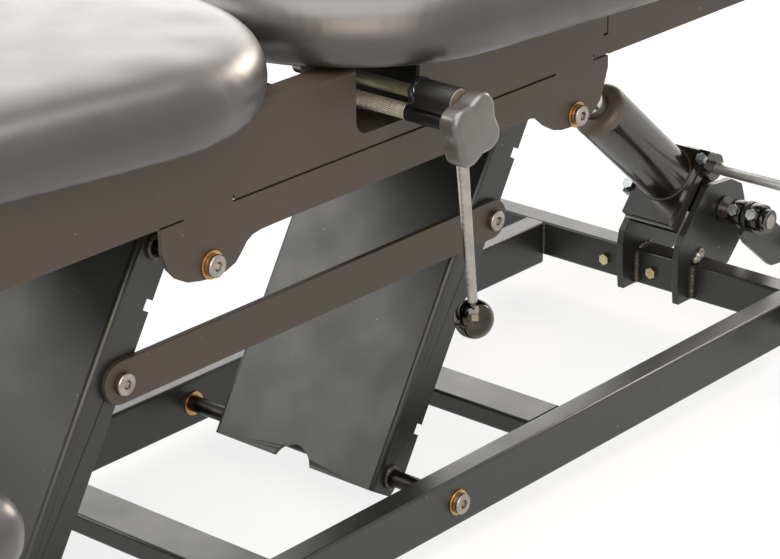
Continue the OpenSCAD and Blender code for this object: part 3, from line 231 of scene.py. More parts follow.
finishes = {
    "satinPowder": powderCoat("black_powder_coat_satin", {
        "colour": "#352d25", "dust": "#3e362c", "scuff": "#a39c92", "roughness": 0.45, "wear": 0.4,
        "specular": 0.4, "peelMm": 1.4, "peelDeepMm": 0.025}),
    "legPowder": powderCoat("black_powder_coat_on_folded_sheet", {
        "colour": "#131511", "dust": "#1d1e19", "scuff": "#a8a69a", "roughness": 0.38, "wear": 0.5,
        "specular": 0.55, "peelMm": 1.4, "peelDeepMm": 0.025}),
    "basePowder": powderCoat("black_powder_coat_on_tube", {
        "colour": "#181917", "dust": "#232420", "scuff": "#9f9f97", "roughness": 0.35, "wear": 0.7,
        "specular": 0.55, "peelMm": 1.6, "peelDeepMm": 0.03}),
    "jackEnamel": powderCoat("black_enamel_gloss_brushed", {
        "colour": "#141312", "dust": "#1e1b18", "scuff": "#7d776e", "roughness": 0.15, "wear": 0.4,
        "specular": 0.75, "peelMm": 5.0, "peelDeepMm": 0.02}),
    # painted reflection: a lighter, rougher copy of the jack's black enamel for the cylinder's cap,
    # standing in for the bright surroundings that the cap reflects
    "jackCapPaintedReflection": powderCoat("black_enamel_lightened_as_painted_reflection", {
        "colour": "#3a3632", "dust": "#6a5f50", "scuff": "#8f877c", "roughness": 0.42, "wear": 0.6,
        "specular": 0.5, "peelMm": 3.0, "peelDeepMm": 0.03}),
    "sleeveEnamel": powderCoat("black_enamel_on_sleeve", {
        "colour": "#0f100f", "dust": "#181716", "scuff": "#6d6860", "roughness": 0.4, "wear": 0.4,
        "specular": 0.3, "peelMm": 3.0, "peelDeepMm": 0.04}),
    "weldSkin": powderCoat("black_powder_coat_over_weld", {
        "colour": "#2d2a25", "dust": "#443f37", "scuff": "#9c948a", "roughness": 0.34, "wear": 1.0,
        "peelMm": 2.2, "peelDeepMm": 0.12}),
    "satinChrome": turnedMetal("chrome_plated_over_turned_bar", {
        "colour": "#f4f4f1", "stain": "#e4e4e0", "roughness": 0.33, "metallic": 0.9, "lineMm": 1.0,
        "lineDeepMm": 0.004}),
    "oiledShaft": turnedMetal("mild_steel_ground_and_oiled", {
        "colour": "#7d7864", "stain": "#5a5644", "roughness": 0.3, "metallic": 0.55, "lineMm": 0.8}),
    # painted shade: a dark copy of the knurled steel, put on the faces deep in the knurl's grooves where
    # shade falls
    "knurlGrooveShade": turnedMetal("bright_steel_darkened_as_painted_groove_shade", {
        "colour": "#3f3a2e", "stain": "#2a261d", "roughness": 0.5, "metallic": 0.5, "lineMm": 0.8,
        "along": (1, 1, 1)}),
    "bareWeld": turnedMetal("mild_steel_weld_bare", {
        "colour": "#a39e96", "stain": "#6e665c", "roughness": 0.34, "metallic": 1, "lineMm": 1.0,
        "along": (1, 1, 1)}),
    "bronze": turnedMetal("sintered_bronze_turned", {
        "colour": "#c79a63", "stain": "#9a6d3c", "roughness": 0.28, "metallic": 1, "lineMm": 0.6}),
    "screwSteel": turnedMetal("stainless_steel_turned", {
        "colour": "#a39e97", "stain": "#7f7972", "roughness": 0.3, "metallic": 1, "lineMm": 0.5}),
    "discSteel": turnedMetal("mild_steel_sawn_and_painted_thin", {
        "colour": "#7a7065", "stain": "#655c53", "roughness": 0.5, "metallic": 0.3, "lineMm": 0.7}),
    "brushedRod": turnedMetal("mild_steel_ground_bright", {
        "colour": "#a8a39c", "stain": "#8a857e", "roughness": 0.22, "metallic": 1, "lineMm": 0.7,
        "along": (10, 10, 1)}),
    "blackSteel": turnedMetal("steel_turned_and_blackened", {
        "colour": "#33312e", "stain": "#1d1c1a", "roughness": 0.36, "metallic": 1, "lineMm": 0.6}),
    "knurledSteel": turnedMetal("bright_steel_knurled", {
        "colour": "#faf5e6", "stain": "#ddd5c1", "roughness": 0.36, "metallic": 0.8, "lineMm": 0.8,
        "along": (1, 1, 1)}),
    "zincPlate": turnedMetal("steel_yellow_zinc_plated", {
        "colour": "#c8bd8f", "stain": "#a3956a", "roughness": 0.26, "metallic": 1, "lineMm": 1.2,
        "along": (1, 1, 1)}),
    "clearZinc": turnedMetal("steel_clear_zinc_plated", {
        "colour": "#c3cacc", "stain": "#949b9e", "roughness": 0.26, "metallic": 1, "lineMm": 1.2,
        "along": (1, 1, 1)}),
    "chrome": turnedMetal("chrome_plated_and_polished", {
        "colour": "#d2d2cf", "stain": "#bdbcb8", "roughness": 0.1, "metallic": 1, "lineMm": 2,
        "lineDeepMm": 0.002, "along": (1, 1, 1)}),
    # painted reflection: polished plating with its colour darkened to stand in for the dark surroundings
    # that the lever's ball mirrors
    "paintedDarkReflectionChrome": turnedMetal("polished_plating_darkened_as_painted_reflection", {
        "colour": "#4a4640", "stain": "#3d3934", "roughness": 0.09, "metallic": 1, "lineMm": 2,
        "lineDeepMm": 0.002, "along": (1, 1, 1)}),
    "vinyl": upholsteryVinyl("pvc_leathercloth_embossed", {
        "colour": "#211d1a", "worn": "#282320", "scuff": "#8e8d92", "roughness": 0.36, "specular": 0.72,
        "coat": 0.5, "coatRoughness": 0.32, "pebbleMm": 1.2, "pebbleDeepMm": 0.02, "creaseDeepMm": 0.12}),
    # painted shade: the boards' colour is darkened to stand in for the shade they lie in under the
    # cushions
    "plywood": birchPly("birch_plywood_darkened_as_painted_shade", {
        "colour": "#2a2521", "late": "#1f1b18", "glue": "#120f0d", "roughness": 0.66, "plyMm": 1.5}),
    "knobPlastic": mouldedPlastic("phenolic_moulded_satin", {
        "colour": "#3d3a36", "worn": "#464340", "roughness": 0.3, "specular": 0.8, "coat": 0.5,
        "coatRoughness": 0.26, "skinMm": 0.7, "skinDeepMm": 0.015}),
    "rubber": mouldedPlastic("rubber_moulded", {
        "colour": "#191919", "worn": "#262525", "roughness": 0.68, "skinMm": 1.0, "skinDeepMm": 0.06}),
}

nodeFinish = {
    "satinPowder": ["side_plate_near", "side_plate_far", "frame_cross_head", "drop_carrier", "jack_cross",
                    "frame_cross_foot", "pelvic_hinge_base", "pelvic_hinge_leaf", "tie_bar",
                    "armrest_sockets", "armrest_arm_near", "armrest_arm_far", "head_hinge_bracket",
                    "head_hinge_leaf"],
    "legPowder": ["front_leg_plate", "rear_leg_plate"],
    "basePowder": ["base_rail_near", "base_rail_far", "base_cross_tubes", "base_foot_bar_head",
                   "base_foot_bar_pump", "jack_clevis", "release_arm"],
    "jackEnamel": ["jack_cylinder", "jack_flange", "shaft_collars"],
    "sleeveEnamel": ["lever_sleeves"],
    "bronze": ["base_bushes", "frame_bushes"],
    "screwSteel": ["front_shaft_screws", "rear_shaft_screws", "tie_pin_front", "tie_pin_rear",
                   "jack_pivot_shaft", "lift_cams"],
    "brushedRod": ["lever_rod", "head_slide_rods", "foot_stems"],
    "blackSteel": ["front_leg_shafts", "rear_leg_shafts"],
    "knurledSteel": ["tension_rod"],
    "zincPlate": ["zinc_bolts"],
    "clearZinc": ["jack_bolts", "collar_bolts"],
    "chrome": ["jack_ram"],
    "satinChrome": ["pump_lever"],
    "oiledShaft": ["cam_shaft"],
    "paintedDarkReflectionChrome": ["lever_ball"],
    "vinyl": ["chest_cushion", "pelvic_cushion", "leg_cushion", "head_cushion", "armrest_pad_near",
              "armrest_pad_far"],
    "plywood": ["chest_board", "pelvic_board", "leg_board", "head_board"],
    "knobPlastic": ["star_knob"],
    "rubber": ["foot_pads"],
}


def finish(obj, key):
    obj.data.materials.clear()
    obj.data.materials.append(finishes[key])


for key, names in nodeFinish.items():
    for name in names:
        finish(nodes[name], key)
print("materials made", len(finishes))


# broken edges: a small round, in millimetres, on every sharp edge of the sheet and tube work

edgeRound = {"side_plate_near": 0.5, "side_plate_far": 0.5, "front_leg_plate": 0.5, "rear_leg_plate": 0.5,
             "tie_bar": 0.7, "jack_clevis": 0.8, "jack_flange": 0.9, "base_rail_near": 0.3,
             "base_rail_far": 0.3, "base_foot_bar_pump": 0.5, "base_foot_bar_head": 0.5,
             "release_arm": 0.8, "shaft_collars": 0.7, "lever_sleeves": 0.9, "zinc_bolts": 0.4,
             "jack_bolts": 0.4, "collar_bolts": 0.4, "front_shaft_screws": 0.4, "rear_shaft_screws": 0.4,
             "tie_pin_front": 0.4, "tie_pin_rear": 0.4, "base_bushes": 0.3, "frame_bushes": 0.3,
             "armrest_arm_near": 0.8, "armrest_arm_far": 0.8, "armrest_sockets": 1.0,
             "head_hinge_bracket": 0.8, "head_hinge_leaf": 0.8, "pump_lever": 1.2, "drop_carrier": 0.6,
             "foot_pads": 0.8, "foot_stems": 0.4}

joinMm = 0.02
edgeSteps = 2
edgeAngle = 35

for name, radius in edgeRound.items():
    weld = nodes[name].modifiers.new("joinVertices", "WELD")
    weld.merge_threshold = joinMm / 1000
    bevel = nodes[name].modifiers.new("roundEdges", "BEVEL")
    bevel.width = radius / 1000
    bevel.segments = edgeSteps
    bevel.limit_method = "ANGLE"
    bevel.angle_limit = math.radians(edgeAngle)
    bevel.harden_normals = True
print("edges rounded", len(edgeRound))


# mesh helpers

def makeObject(name, points, faces, body, key):
    mesh = bpy.data.meshes.new(name)
    mesh.from_pydata([tuple(p) for p in points], [], faces)
    mesh.validate()
    bm = bmesh.new()
    bm.from_mesh(mesh)
    bmesh.ops.recalc_face_normals(bm, faces=bm.faces)
    bm.to_mesh(mesh)
    bm.free()
    obj = bpy.data.objects.new(name, mesh)
    scene.collection.objects.link(obj)
    finish(obj, key)
    for polygon in mesh.polygons:
        polygon.use_smooth = True
    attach(obj, body)
    return obj


def ringFaces(ringCount, around, closedLoop=False):
    # quads between neighbouring rings, and a cap on each end unless the rings close in a loop
    faces = []
    last = ringCount if closedLoop else ringCount - 1
    for k in range(last):
        for i in range(around):
            j = (i + 1) % around
            m = (k + 1) % ringCount
            faces.append((k * around + i, k * around + j, m * around + j, m * around + i))
    if not closedLoop:
        faces.append(tuple(range(around))[::-1])
        faces.append(tuple((ringCount - 1) * around + i for i in range(around)))
    return faces


def lathe(name, start, axis, profile, body, key, around=64):
    # profile is a list of (distance along the axis, radius), in millimetres
    along = Vector(axis).normalized()
    side = along.orthogonal().normalized()
    other = along.cross(side)
    points = []
    for distance, radius in profile:
        for i in range(around):
            turn = 2 * math.pi * i / around
            points.append(Vector(start) + along * distance / 1000
                          + (side * math.cos(turn) + other * math.sin(turn)) * radius / 1000)
    return makeObject(name, points, ringFaces(len(profile), around), body, key)


# puddles of a weld: how far apart, how much each swells, how unevenly, how long the ends taper
puddle = {"stepMm": 0.8, "everyMm": 4.2, "swell": 0.16, "uneven": 0.2, "rough": 0.12, "taperMm": 4,
          "tip": 0.35, "flat": 0.75, "around": 10, "wideNoise": 260, "fineNoise": 500}


def weldBead(name, path, radiusMm, body, key="weldSkin", closed=False):
    # a run of overlapping puddles, as an arc welder leaves them
    path = [Vector(p) for p in path]
    if closed:
        path.append(path[0])
    lengths = [(path[i + 1] - path[i]).length for i in range(len(path) - 1)]
    total = sum(lengths)
    stepCount = max(8, int(total / (puddle["stepMm"] / 1000)))
    points, around = [], puddle["around"]
    ringCount = stepCount if closed else stepCount + 1
    for k in range(ringCount):
        left = total * k / stepCount
        i = 0
        while i < len(lengths) - 1 and left > lengths[i]:
            left -= lengths[i]
            i += 1
        centre = path[i].lerp(path[i + 1], min(1, left / lengths[i]))
        tangent = (path[i + 1] - path[i]).normalized()
        side = tangent.orthogonal().normalized()
        other = tangent.cross(side)
        travel = total * k / stepCount
        swell = puddle["swell"] * abs(math.sin(math.pi * travel / (puddle["everyMm"] / 1000)))
        ripple = 1 + swell + puddle["uneven"] * noise.noise(centre * puddle["wideNoise"])
        nearEnd = min(travel, total - travel) / (puddle["taperMm"] / 1000)
        ends = 1 if closed else min(1, puddle["tip"] + nearEnd)
        for a in range(around):
            turn = 2 * math.pi * a / around
            skin = 1 + puddle["rough"] * noise.noise(centre * puddle["fineNoise"] + side * a)
            size = radiusMm / 1000 * ripple * ends * skin
            points.append(centre + side * math.cos(turn) * size
                          + other * math.sin(turn) * size * puddle["flat"])
    return makeObject(name, points, ringFaces(ringCount, around, closed), body, key)


# upholstered pads, inflated as cloth over their foam

padSets = {
    "chest_pad": {"node": "chest_cushion", "body": "top_frame", "voxelMm": 6, "fill": 0.9},
    "pelvic_pad": {"node": "pelvic_cushion", "body": "drop_section", "voxelMm": 6, "fill": 0.9},
    "leg_pad": {"node": "leg_cushion", "body": "top_frame", "voxelMm": 7, "fill": 0.9},
    "head_pad": {"node": "head_cushion", "body": "head_piece", "voxelMm": 5, "fill": 0.9},
    "arm_pad_near": {"node": "armrest_pad_near", "body": "arm_near", "voxelMm": 4, "fill": 0.85},
    "arm_pad_far": {"node": "armrest_pad_far", "body": "arm_far", "voxelMm": 4, "fill": 0.85},
}

# what all the pads share: how the cover is cut, blown up and drawn out; heights are above its lowest
# edge, which is held to the board
cover = {"shrinkMm": 3.0, "shrinkFromMm": 16, "shrinkOverMm": 20, "freeFromMm": 14, "freeOverMm": 12,
         "relaxStep": 0.55, "heldEase": 0.35, "roundsBefore": 34, "roundsAfter": 30,
         "pressure": 4.0, "massKg": 0.3, "stiffness": 15, "bending": 1.5, "quality": 5, "frames": 20,
         "capMm": 5, "drawTimes": 3, "drawRounds": 60, "drawInMm": 8, "drawOutMm": 12, "heldDraw": 0.75}


def meshArrays(mesh):
    points = np.empty(len(mesh.vertices) * 3)
    mesh.vertices.foreach_get("co", points)
    edges = np.empty(len(mesh.edges) * 2, dtype=np.int64)
    mesh.edges.foreach_get("vertices", edges)
    return points.reshape(-1, 3), edges.reshape(-1, 2)


def relax(points, edges, rounds, free):
    count = np.zeros(len(points))
    np.add.at(count, edges[:, 0], 1)
    np.add.at(count, edges[:, 1], 1)
    for _ in range(rounds):
        total = np.zeros_like(points)
        np.add.at(total, edges[:, 0], points[edges[:, 1]])
        np.add.at(total, edges[:, 1], points[edges[:, 0]])
        mean = total / np.maximum(count, 1)[:, None]
        points = points + (mean - points) * (cover["relaxStep"] * free)[:, None]
    return points


def eased(free):
    # the held edge is relaxed too, but less
    return cover["heldEase"] + (1 - cover["heldEase"]) * free


def fillOut(mesh, points, edges, shell, free):
    # draw the cover out to its pattern, evenly, so that the foam fills it
    mesh.vertices.foreach_set("co", points.ravel())
    mesh.update()
    normals = np.empty(len(points) * 3)
    mesh.vertices.foreach_get("normal", normals)
    normals = normals.reshape(-1, 3)
    gap = np.zeros((len(points), 1))
    for i, (point, normal) in enumerate(zip(points, normals)):
        hit = shell.find_nearest(Vector(point))[0]
        reach = (hit - Vector(point)).dot(Vector(normal))
        gap[i] = max(-cover["drawInMm"] / 1000, min(cover["drawOutMm"] / 1000, reach))
    gap = relax(gap, edges, cover["drawRounds"], np.ones(len(points)))
    return points + normals * gap * (cover["heldDraw"] + (1 - cover["heldDraw"]) * free)[:, None]


def cutCover(name, source, voxelMm):
    # the CAD cushion, taken in above its held edge and divided into even squares
    mesh = source.data.copy()
    obj = bpy.data.objects.new(name, mesh)
    scene.collection.objects.link(obj)
    low = min(v.co.z for v in mesh.vertices)
    bm = bmesh.new()
    bm.from_mesh(mesh)
    bmesh.ops.remove_doubles(bm, verts=bm.verts, dist=joinMm / 1000)
    bm.normal_update()
    pull = cover["shrinkMm"] / 1000
    for v in bm.verts:
        above = (v.co.z - low - cover["shrinkFromMm"] / 1000) / (cover["shrinkOverMm"] / 1000)
        v.co -= v.normal * pull * min(1, max(0, above))
    bm.to_mesh(mesh)
    bm.free()
    remesh = obj.modifiers.new("remesh", "REMESH")
    remesh.mode = "VOXEL"
    remesh.voxel_size = voxelMm / 1000
    graph = bpy.context.evaluated_depsgraph_get()
    cut = bpy.data.meshes.new_from_object(obj.evaluated_get(graph))
    obj.modifiers.clear()
    obj.data = cut
    return obj, low


def blowUp(obj, start, edges, free):
    # cloth under pressure, held at its lower edge, with the travel capped
    group = obj.vertex_groups.new(name="held")
    for i, hold in enumerate(1 - free):
        group.add([i], float(hold), "REPLACE")
    cloth = obj.modifiers.new("cloth", "CLOTH")
    cloth.settings.quality = cover["quality"]
    cloth.settings.mass = cover["massKg"]
    cloth.settings.use_pressure = True
    cloth.settings.uniform_pressure_force = cover["pressure"]
    cloth.settings.effector_weights.gravity = 0
    cloth.settings.tension_stiffness = cover["stiffness"]
    cloth.settings.compression_stiffness = cover["stiffness"]
    cloth.settings.bending_stiffness = cover["bending"]
    cloth.settings.vertex_group_mass = "held"
    cloth.settings.pin_stiffness = 1
    cloth.point_cache.frame_start = 1
    cloth.point_cache.frame_end = cover["frames"]
    for f in range(1, cover["frames"] + 1):
        scene.frame_set(f)
    graph = bpy.context.evaluated_depsgraph_get()
    blown, _ = meshArrays(obj.evaluated_get(graph).data)
    obj.modifiers.clear()
    scene.frame_set(1)
    move = blown - start
    far = np.linalg.norm(move, axis=1)
    cap = cover["capMm"] / 1000
    move *= (cap * np.tanh(far / cap) / np.maximum(far, 1e-9))[:, None]
    print(obj.name, "moved up to", round(float(np.max(far)) * 1000, 1), "mm before the cap")
    return relax(start + move, edges, cover["roundsAfter"], eased(free))


def inflatePad(name, settings):
    source = nodes[settings["node"]]
    shell = BVHTree.FromPolygons([v.co for v in source.data.vertices],
                                 [p.vertices for p in source.data.polygons])
    obj, low = cutCover(name, source, settings["voxelMm"])
    cut = obj.data
    points, edges = meshArrays(cut)
    free = np.clip((points[:, 2] - low - cover["freeFromMm"] / 1000) / (cover["freeOverMm"] / 1000), 0, 1)
    start = relax(points, edges, cover["roundsBefore"], eased(free))
    cut.vertices.foreach_set("co", start.ravel())
    cut.update()
    start = blowUp(obj, start, edges, free)
    for _ in range(cover["drawTimes"]):
        start = fillOut(cut, start, edges, shell, free)
    cut.vertices.foreach_set("co", start.ravel())
    cut.update()
    obj.modifiers.new("smooth", "SUBSURF").levels = 1
    obj.modifiers["smooth"].render_levels = 1
    graph = bpy.context.evaluated_depsgraph_get()
    obj.data = bpy.data.meshes.new_from_object(obj.evaluated_get(graph))
    obj.modifiers.clear()
    obj.data.name = name
    for polygon in obj.data.polygons:
        polygon.use_smooth = True
    finish(obj, "vinyl")
    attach(obj, settings["body"])
    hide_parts(settings["node"])
    print(name, "made", len(obj.data.vertices), "vertices")


for name, settings in padSets.items():
    inflatePad(name, settings)


# tension knob: four soft lobes, a rolled rim and a flat face

knob = {"x": -55.0, "z": 451.92, "frontY": -270.0, "backY": -249.6, "outMm": 32.4, "waistMm": 24.7,
        "turn": 63, "lobes": 4, "lobeSharp": 0.9, "rimMm": 6.5, "backRimMm": 3.0, "around": 200,
        "rimShare": 0.9, "rimLow": 0.4, "faceLow": 0.25, "leastMm": 0.5}


def makeKnob():
    # rings are (y, how far the ring lies inside the outline)
    points = []
    rings = [(knob["backY"], 12), (knob["backY"], 20)]
    for k in range(7):
        a = math.pi / 2 * k / 6
        rings.append((knob["backY"] - knob["backRimMm"] * (1 - math.cos(a)),
                      knob["backRimMm"] * (1 - math.sin(a))))
    for k in range(11):
        a = math.pi / 2 * k / 10
        low = knob["rimMm"] * (1 - math.sin(a)) * knob["rimShare"] + knob["rimLow"]
        rings.append((knob["frontY"] + low, knob["rimMm"] * (1 - math.cos(a))))
    rings += [(knob["frontY"] + knob["faceLow"], 9), (knob["frontY"], 14), (knob["frontY"], 21)]
    for y, inset in rings:
        for i in range(knob["around"]):
            turn = 2 * math.pi * i / knob["around"]
            wave = 0.5 + 0.5 * math.cos(knob["lobes"] * (turn - math.radians(knob["turn"])))
            shape = knob["waistMm"] + (knob["outMm"] - knob["waistMm"]) * wave ** knob["lobeSharp"]
            radius = max(knob["leastMm"], shape - inset)
            points.append(((knob["x"] + radius * math.cos(turn)) / 1000, y / 1000,
                           (knob["z"] + radius * math.sin(turn)) / 1000))
    obj = makeObject("tension_knob", points, ringFaces(len(rings), knob["around"]), "tension_knob",
                     "knobPlastic")
    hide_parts("star_knob")


makeKnob()

# tension rod: plain through the sleeve, then a rolled diamond knurl whose grooves get a dark finish as
# painted shade
# (a knurl of 1 to 1.6 mm is too fine to show, so its pitch is drawn at 2.1 mm)

knurl = {"x": -55.0, "z": 451.92, "fromY": -263.9, "toY": -125, "plainTo": -193.7, "plainMm": 4.98,
         "radiusMm": 7.0, "deepMm": 0.5, "pitchMm": 2.1, "stepsPerPitch": 5, "around": 126,
         "lead": 1.5, "valley": -0.2, "plainStepMm": 8, "endMm": 1.5, "endShare": 0.25, "endDrop": 0.1,
         "grooveShadeBelow": 0.1}


def knurlRidge(y, turn):
    # two crossing sets of ridges; 2 is the top of a diamond
    starts = round(2 * math.pi * knurl["radiusMm"] / knurl["pitchMm"])
    phase = 2 * math.pi * (y - knurl["fromY"]) / (knurl["pitchMm"] * knurl["lead"])
    return (max(math.cos(starts * turn + phase), knurl["valley"])
            + max(math.cos(starts * turn - phase), knurl["valley"]))


def makeKnurledRod():
    points, ringCount, heights = [], 0, []
    y = knurl["fromY"]
    step = knurl["pitchMm"] / knurl["stepsPerPitch"]
    while y < knurl["toY"] + 0.001:
        plain = y < knurl["plainTo"]
        ends = min(1.0, (knurl["toY"] - y) / knurl["endMm"] + knurl["endShare"])
        for i in range(knurl["around"]):
            turn = 2 * math.pi * i / knurl["around"]
            ridge = 2 if plain else knurlRidge(y, turn)
            radius = knurl["plainMm"] if plain else knurl["radiusMm"] - knurl["deepMm"] * (1 - ridge / 2)
            radius *= min(1, 1 - knurl["endDrop"] + knurl["endDrop"] * ends)
            heights.append(ridge)
            points.append(((knurl["x"] + radius * math.cos(turn)) / 1000, y / 1000,
                           (knurl["z"] + radius * math.sin(turn)) / 1000))
        ringCount += 1
        y += min(knurl["plainStepMm"], max(0.02, knurl["plainTo"] - y)) if plain else step
    obj = makeObject("knurled_rod", points, ringFaces(ringCount, knurl["around"]), "tension_knob",
                     "knurledSteel")
    obj.data.materials.append(finishes["knurlGrooveShade"])
    # faces low in the grooves get the dark copy: painted shade
    for polygon in obj.data.polygons:
        corners = [heights[v] for v in polygon.vertices]
        if len(corners) == 4 and sum(corners) < 4 * knurl["grooveShadeBelow"]:
            polygon.material_index = 1
    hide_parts("tension_rod")


makeKnurledRod()

# end disc of the upper sleeve

disc = {"at": (-0.055, -0.2469, 0.47092),
        "profile": [(0, 12.6), (0.7, 12.6), (1.2, 12.1), (1.3, 11.4), (1.3, 4.0), (1.3, 0.3)]}
lathe("sleeve_end_disc", disc["at"], (0, -1, 0), disc["profile"], "cocking_lever", "discSteel")
print("knob, rod and sleeve made")

# jack cylinder: rolled shoulder, a cap coloured lighter as a painted reflection of the bright
# surroundings, and the ram's bore

jack = {"pivot": (656, -5, 123), "angle": 40.2, "from": 72, "top": 245, "radius": 30.2, "ram": 15.05,
        "boreGap": 0.4, "floor": 6, "domeMm": 13, "domeFrom": 14, "domeTall": 13.2, "paintedReflectionFrom": 13,
        "weldAt": 72.6, "around": 96}
jackAxis = Vector((-math.cos(math.radians(jack["angle"])), 0, math.sin(math.radians(jack["angle"]))))
jackPivot = Vector(jack["pivot"]) / 1000


def makeCylinder():
    # (distance from the pivot, radius): up the outside, over the dome and down the bore
    low, top, radius, bore = jack["from"], jack["top"], jack["radius"], jack["ram"] + jack["boreGap"]
    profile = [(low + 0.05, 0.5), (low + 0.05, radius), (low + 1.2, radius), (low + 60, radius),
               (top - 26, radius)]
    for k in range(13):
        a = math.pi / 2 * k / 12
        profile.append((top - jack["domeFrom"] + jack["domeTall"] * math.sin(a),
                        radius - jack["domeMm"] * (1 - math.cos(a))))
    profile += [(top - 0.5, jack["ram"] + 1.2), (top - 0.8, jack["ram"] + 0.1), (top - 3.0, bore)]
    profile += [(low + jack["floor"], bore), (low + jack["floor"], 6), (low + jack["floor"], 0.5)]
    obj = lathe("jack_tube", jackPivot, jackAxis, profile, "jack", "jackEnamel",
                jack["around"])
    obj.data.materials.append(finishes["jackCapPaintedReflection"])
    # the faces of the cap get the lighter copy: a painted reflection
    for polygon in obj.data.polygons:
        if (polygon.center - jackPivot).dot(jackAxis) * 1000 > top - jack["paintedReflectionFrom"]:
            polygon.material_index = 1
    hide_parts("jack_cylinder")


makeCylinder()


def circlePath(centre, axis, radiusMm, count=40):
    axis = Vector(axis).normalized()
    side = axis.orthogonal().normalized()
    other = axis.cross(side)
    turns = [2 * math.pi * i / count for i in range(count)]
    return [Vector(centre) + (side * math.cos(turn) + other * math.sin(turn)) * radiusMm / 1000
            for turn in turns]


# weld beads; points are in millimetres

def mm(*values):
    return Vector(values) / 1000


def weldRun(name, path, radiusMm, body, key="weldSkin"):
    weldBead(name, [mm(*point) for point in path], radiusMm, body, key)


legWeld = {"slope": 59.3, "low": 0, "high": 373, "outMm": 102.4, "ringMm": 9.6, "radiusMm": 2.3,
           "front_leg": (-455.3, 0, 50), "rear_leg": (32, 0, 50)}
legTurn = math.radians(legWeld["slope"])
legDirection = Vector((math.cos(legTurn), 0, math.sin(legTurn)))

for body in ("front_leg", "rear_leg"):
    for place in ("low", "high"):
        for side, label in ((-1, "near"), (1, "far")):
            centre = (mm(*legWeld[body]) + legDirection * legWeld[place] / 1000
                      + mm(0, side * legWeld["outMm"], 0))
            weldBead(f"weld_{body}_{place}_{label}", circlePath(centre, (0, 1, 0), legWeld["ringMm"]),
                     legWeld["radiusMm"], body, closed=True)

weldRun("weld_clevis_near", [(598.4, -46.6, 36), (598.2, -46.8, 55), (598.6, -46.4, 74)], 5.4, "base")
weldRun("weld_clevis_near_top", [(600, -47.6, 77), (606, -47.8, 82), (616, -47.4, 89)], 5.0, "base",
        "bareWeld")
weldRun("weld_clevis_far", [(598.4, 26.4, 36), (598.2, 26.2, 55), (598.6, 26.6, 74)], 5.0, "base")
weldRun("weld_clevis_far_top", [(602, 26.4, 75.6), (614, 26.2, 76), (627, 26.5, 75.6)], 3.4, "base")

# the rails' ends on the end bars, and the cross tubes on the rails
railWeld = {"inY": 154.4, "midY": 154.2, "outY": 180.6, "outTopY": 180.8, "pump": 599, "head": -578,
            "crossX": (-219, 193), "reach": 25}
for side, label in ((-1, "near"), (1, "far")):
    for out, end in ((-1, "pump"), (1, "head")):
        seam = railWeld[end] + out * 0.8
        middle = railWeld[end] + out * 0.6
        weldRun(f"weld_rail_{label}_{end}",
                [(seam, side * railWeld["inY"], 37), (middle, side * railWeld["midY"], 56),
                 (seam, side * railWeld["inY"], 73)], 2.8, "base")
        weldRun(f"weld_rail_out_{label}_{end}",
                [(seam, side * railWeld["outY"], 38), (seam, side * railWeld["outTopY"], 72)], 2.4,
                "base")
    for x in railWeld["crossX"]:
        for reach in (-railWeld["reach"], railWeld["reach"]):
            edge = (x + reach, side * railWeld["inY"])
            weldRun(f"weld_cross_{label}_{x}_{reach}".replace("-", "m"),
                    [(*edge, 57), (*edge, 73)], 2.2, "base")

weldBead("weld_jack_base",
         circlePath(jackPivot + jackAxis * jack["weldAt"] / 1000, jackAxis, 30.0, 60), 1.6,
         "jack", closed=True)

# the bracket over the ram
bracketWeld = {"fromX": 332, "toX": 375, "midY": -5, "outMm": 30.6, "z": 430}
for side, label in ((-1, "near"), (1, "far")):
    seam = bracketWeld["midY"] + side * bracketWeld["outMm"]
    weldRun(f"weld_bracket_{label}", [(bracketWeld["fromX"], seam, bracketWeld["z"]),
                                      (bracketWeld["toX"], seam, bracketWeld["z"])], 2.0, "top_frame")

# the upper sleeve's torn end, with one bare chip, and the lever rod's weld
sleeve = {"x": -55, "y": -206.5, "z": 470.9, "radiusMm": 12.7, "waveMm": 2.5, "waveTurns": 9}
sleeveTear = []
for a in range(60, 215, 9):
    turn = math.radians(a)
    sleeveTear.append((sleeve["x"] + sleeve["radiusMm"] * math.cos(turn),
                       sleeve["y"] - sleeve["waveMm"] * math.sin(a / sleeve["waveTurns"]),
                       sleeve["z"] + sleeve["radiusMm"] * math.sin(turn)))
weldRun("weld_sleeves", sleeveTear, 2.4, "cocking_lever", "sleeveEnamel")
weldRun("weld_sleeves_bare", [(-66.6, -208.5, 479.2), (-68.0, -209.5, 475.0)], 1.2, "cocking_lever",
        "bareWeld")
weldRun("weld_lever_rod", [(-47.5, -231.4, 461.5), (-47.5, -242.0, 461.5)], 1.6, "cocking_lever")
print("welds laid")

# camera at the photograph's viewing angle

cameraSet = {"at": (-1.7855, -1.6401, 1.2207), "along": (0.7062, 0.5987, -0.3778), "lensMm": 131.18,
             "sensorMm": 36, "clipStart": 0.05}
cameraData = bpy.data.cameras.new("camera")
camera = bpy.data.objects.new("camera", cameraData)
scene.collection.objects.link(camera)
cameraData.sensor_width = cameraSet["sensorMm"]
cameraData.lens = cameraSet["lensMm"]
cameraData.clip_start = cameraSet["clipStart"]
camera.location = cameraSet["at"]
camera.rotation_euler = Vector(cameraSet["along"]).to_track_quat("-Z", "Y").to_euler()
scene.camera = camera

# floor and light

# halfM is half the floor's side; shownShare is how white it is for the rays that show the background
floorLook = {"colour": "#f2f1ee", "roughness": 0.8, "shownShare": 0.8, "halfM": 9}
half = floorLook["halfM"]
floorMesh = bpy.data.meshes.new("studio_floor")
floorMesh.from_pydata([(-half, -half, 0), (half, -half, 0), (half, half, 0), (-half, half, 0)], [],
                      [(0, 1, 2, 3)])
floor = bpy.data.objects.new("studio_floor", floorMesh)
scene.collection.objects.link(floor)


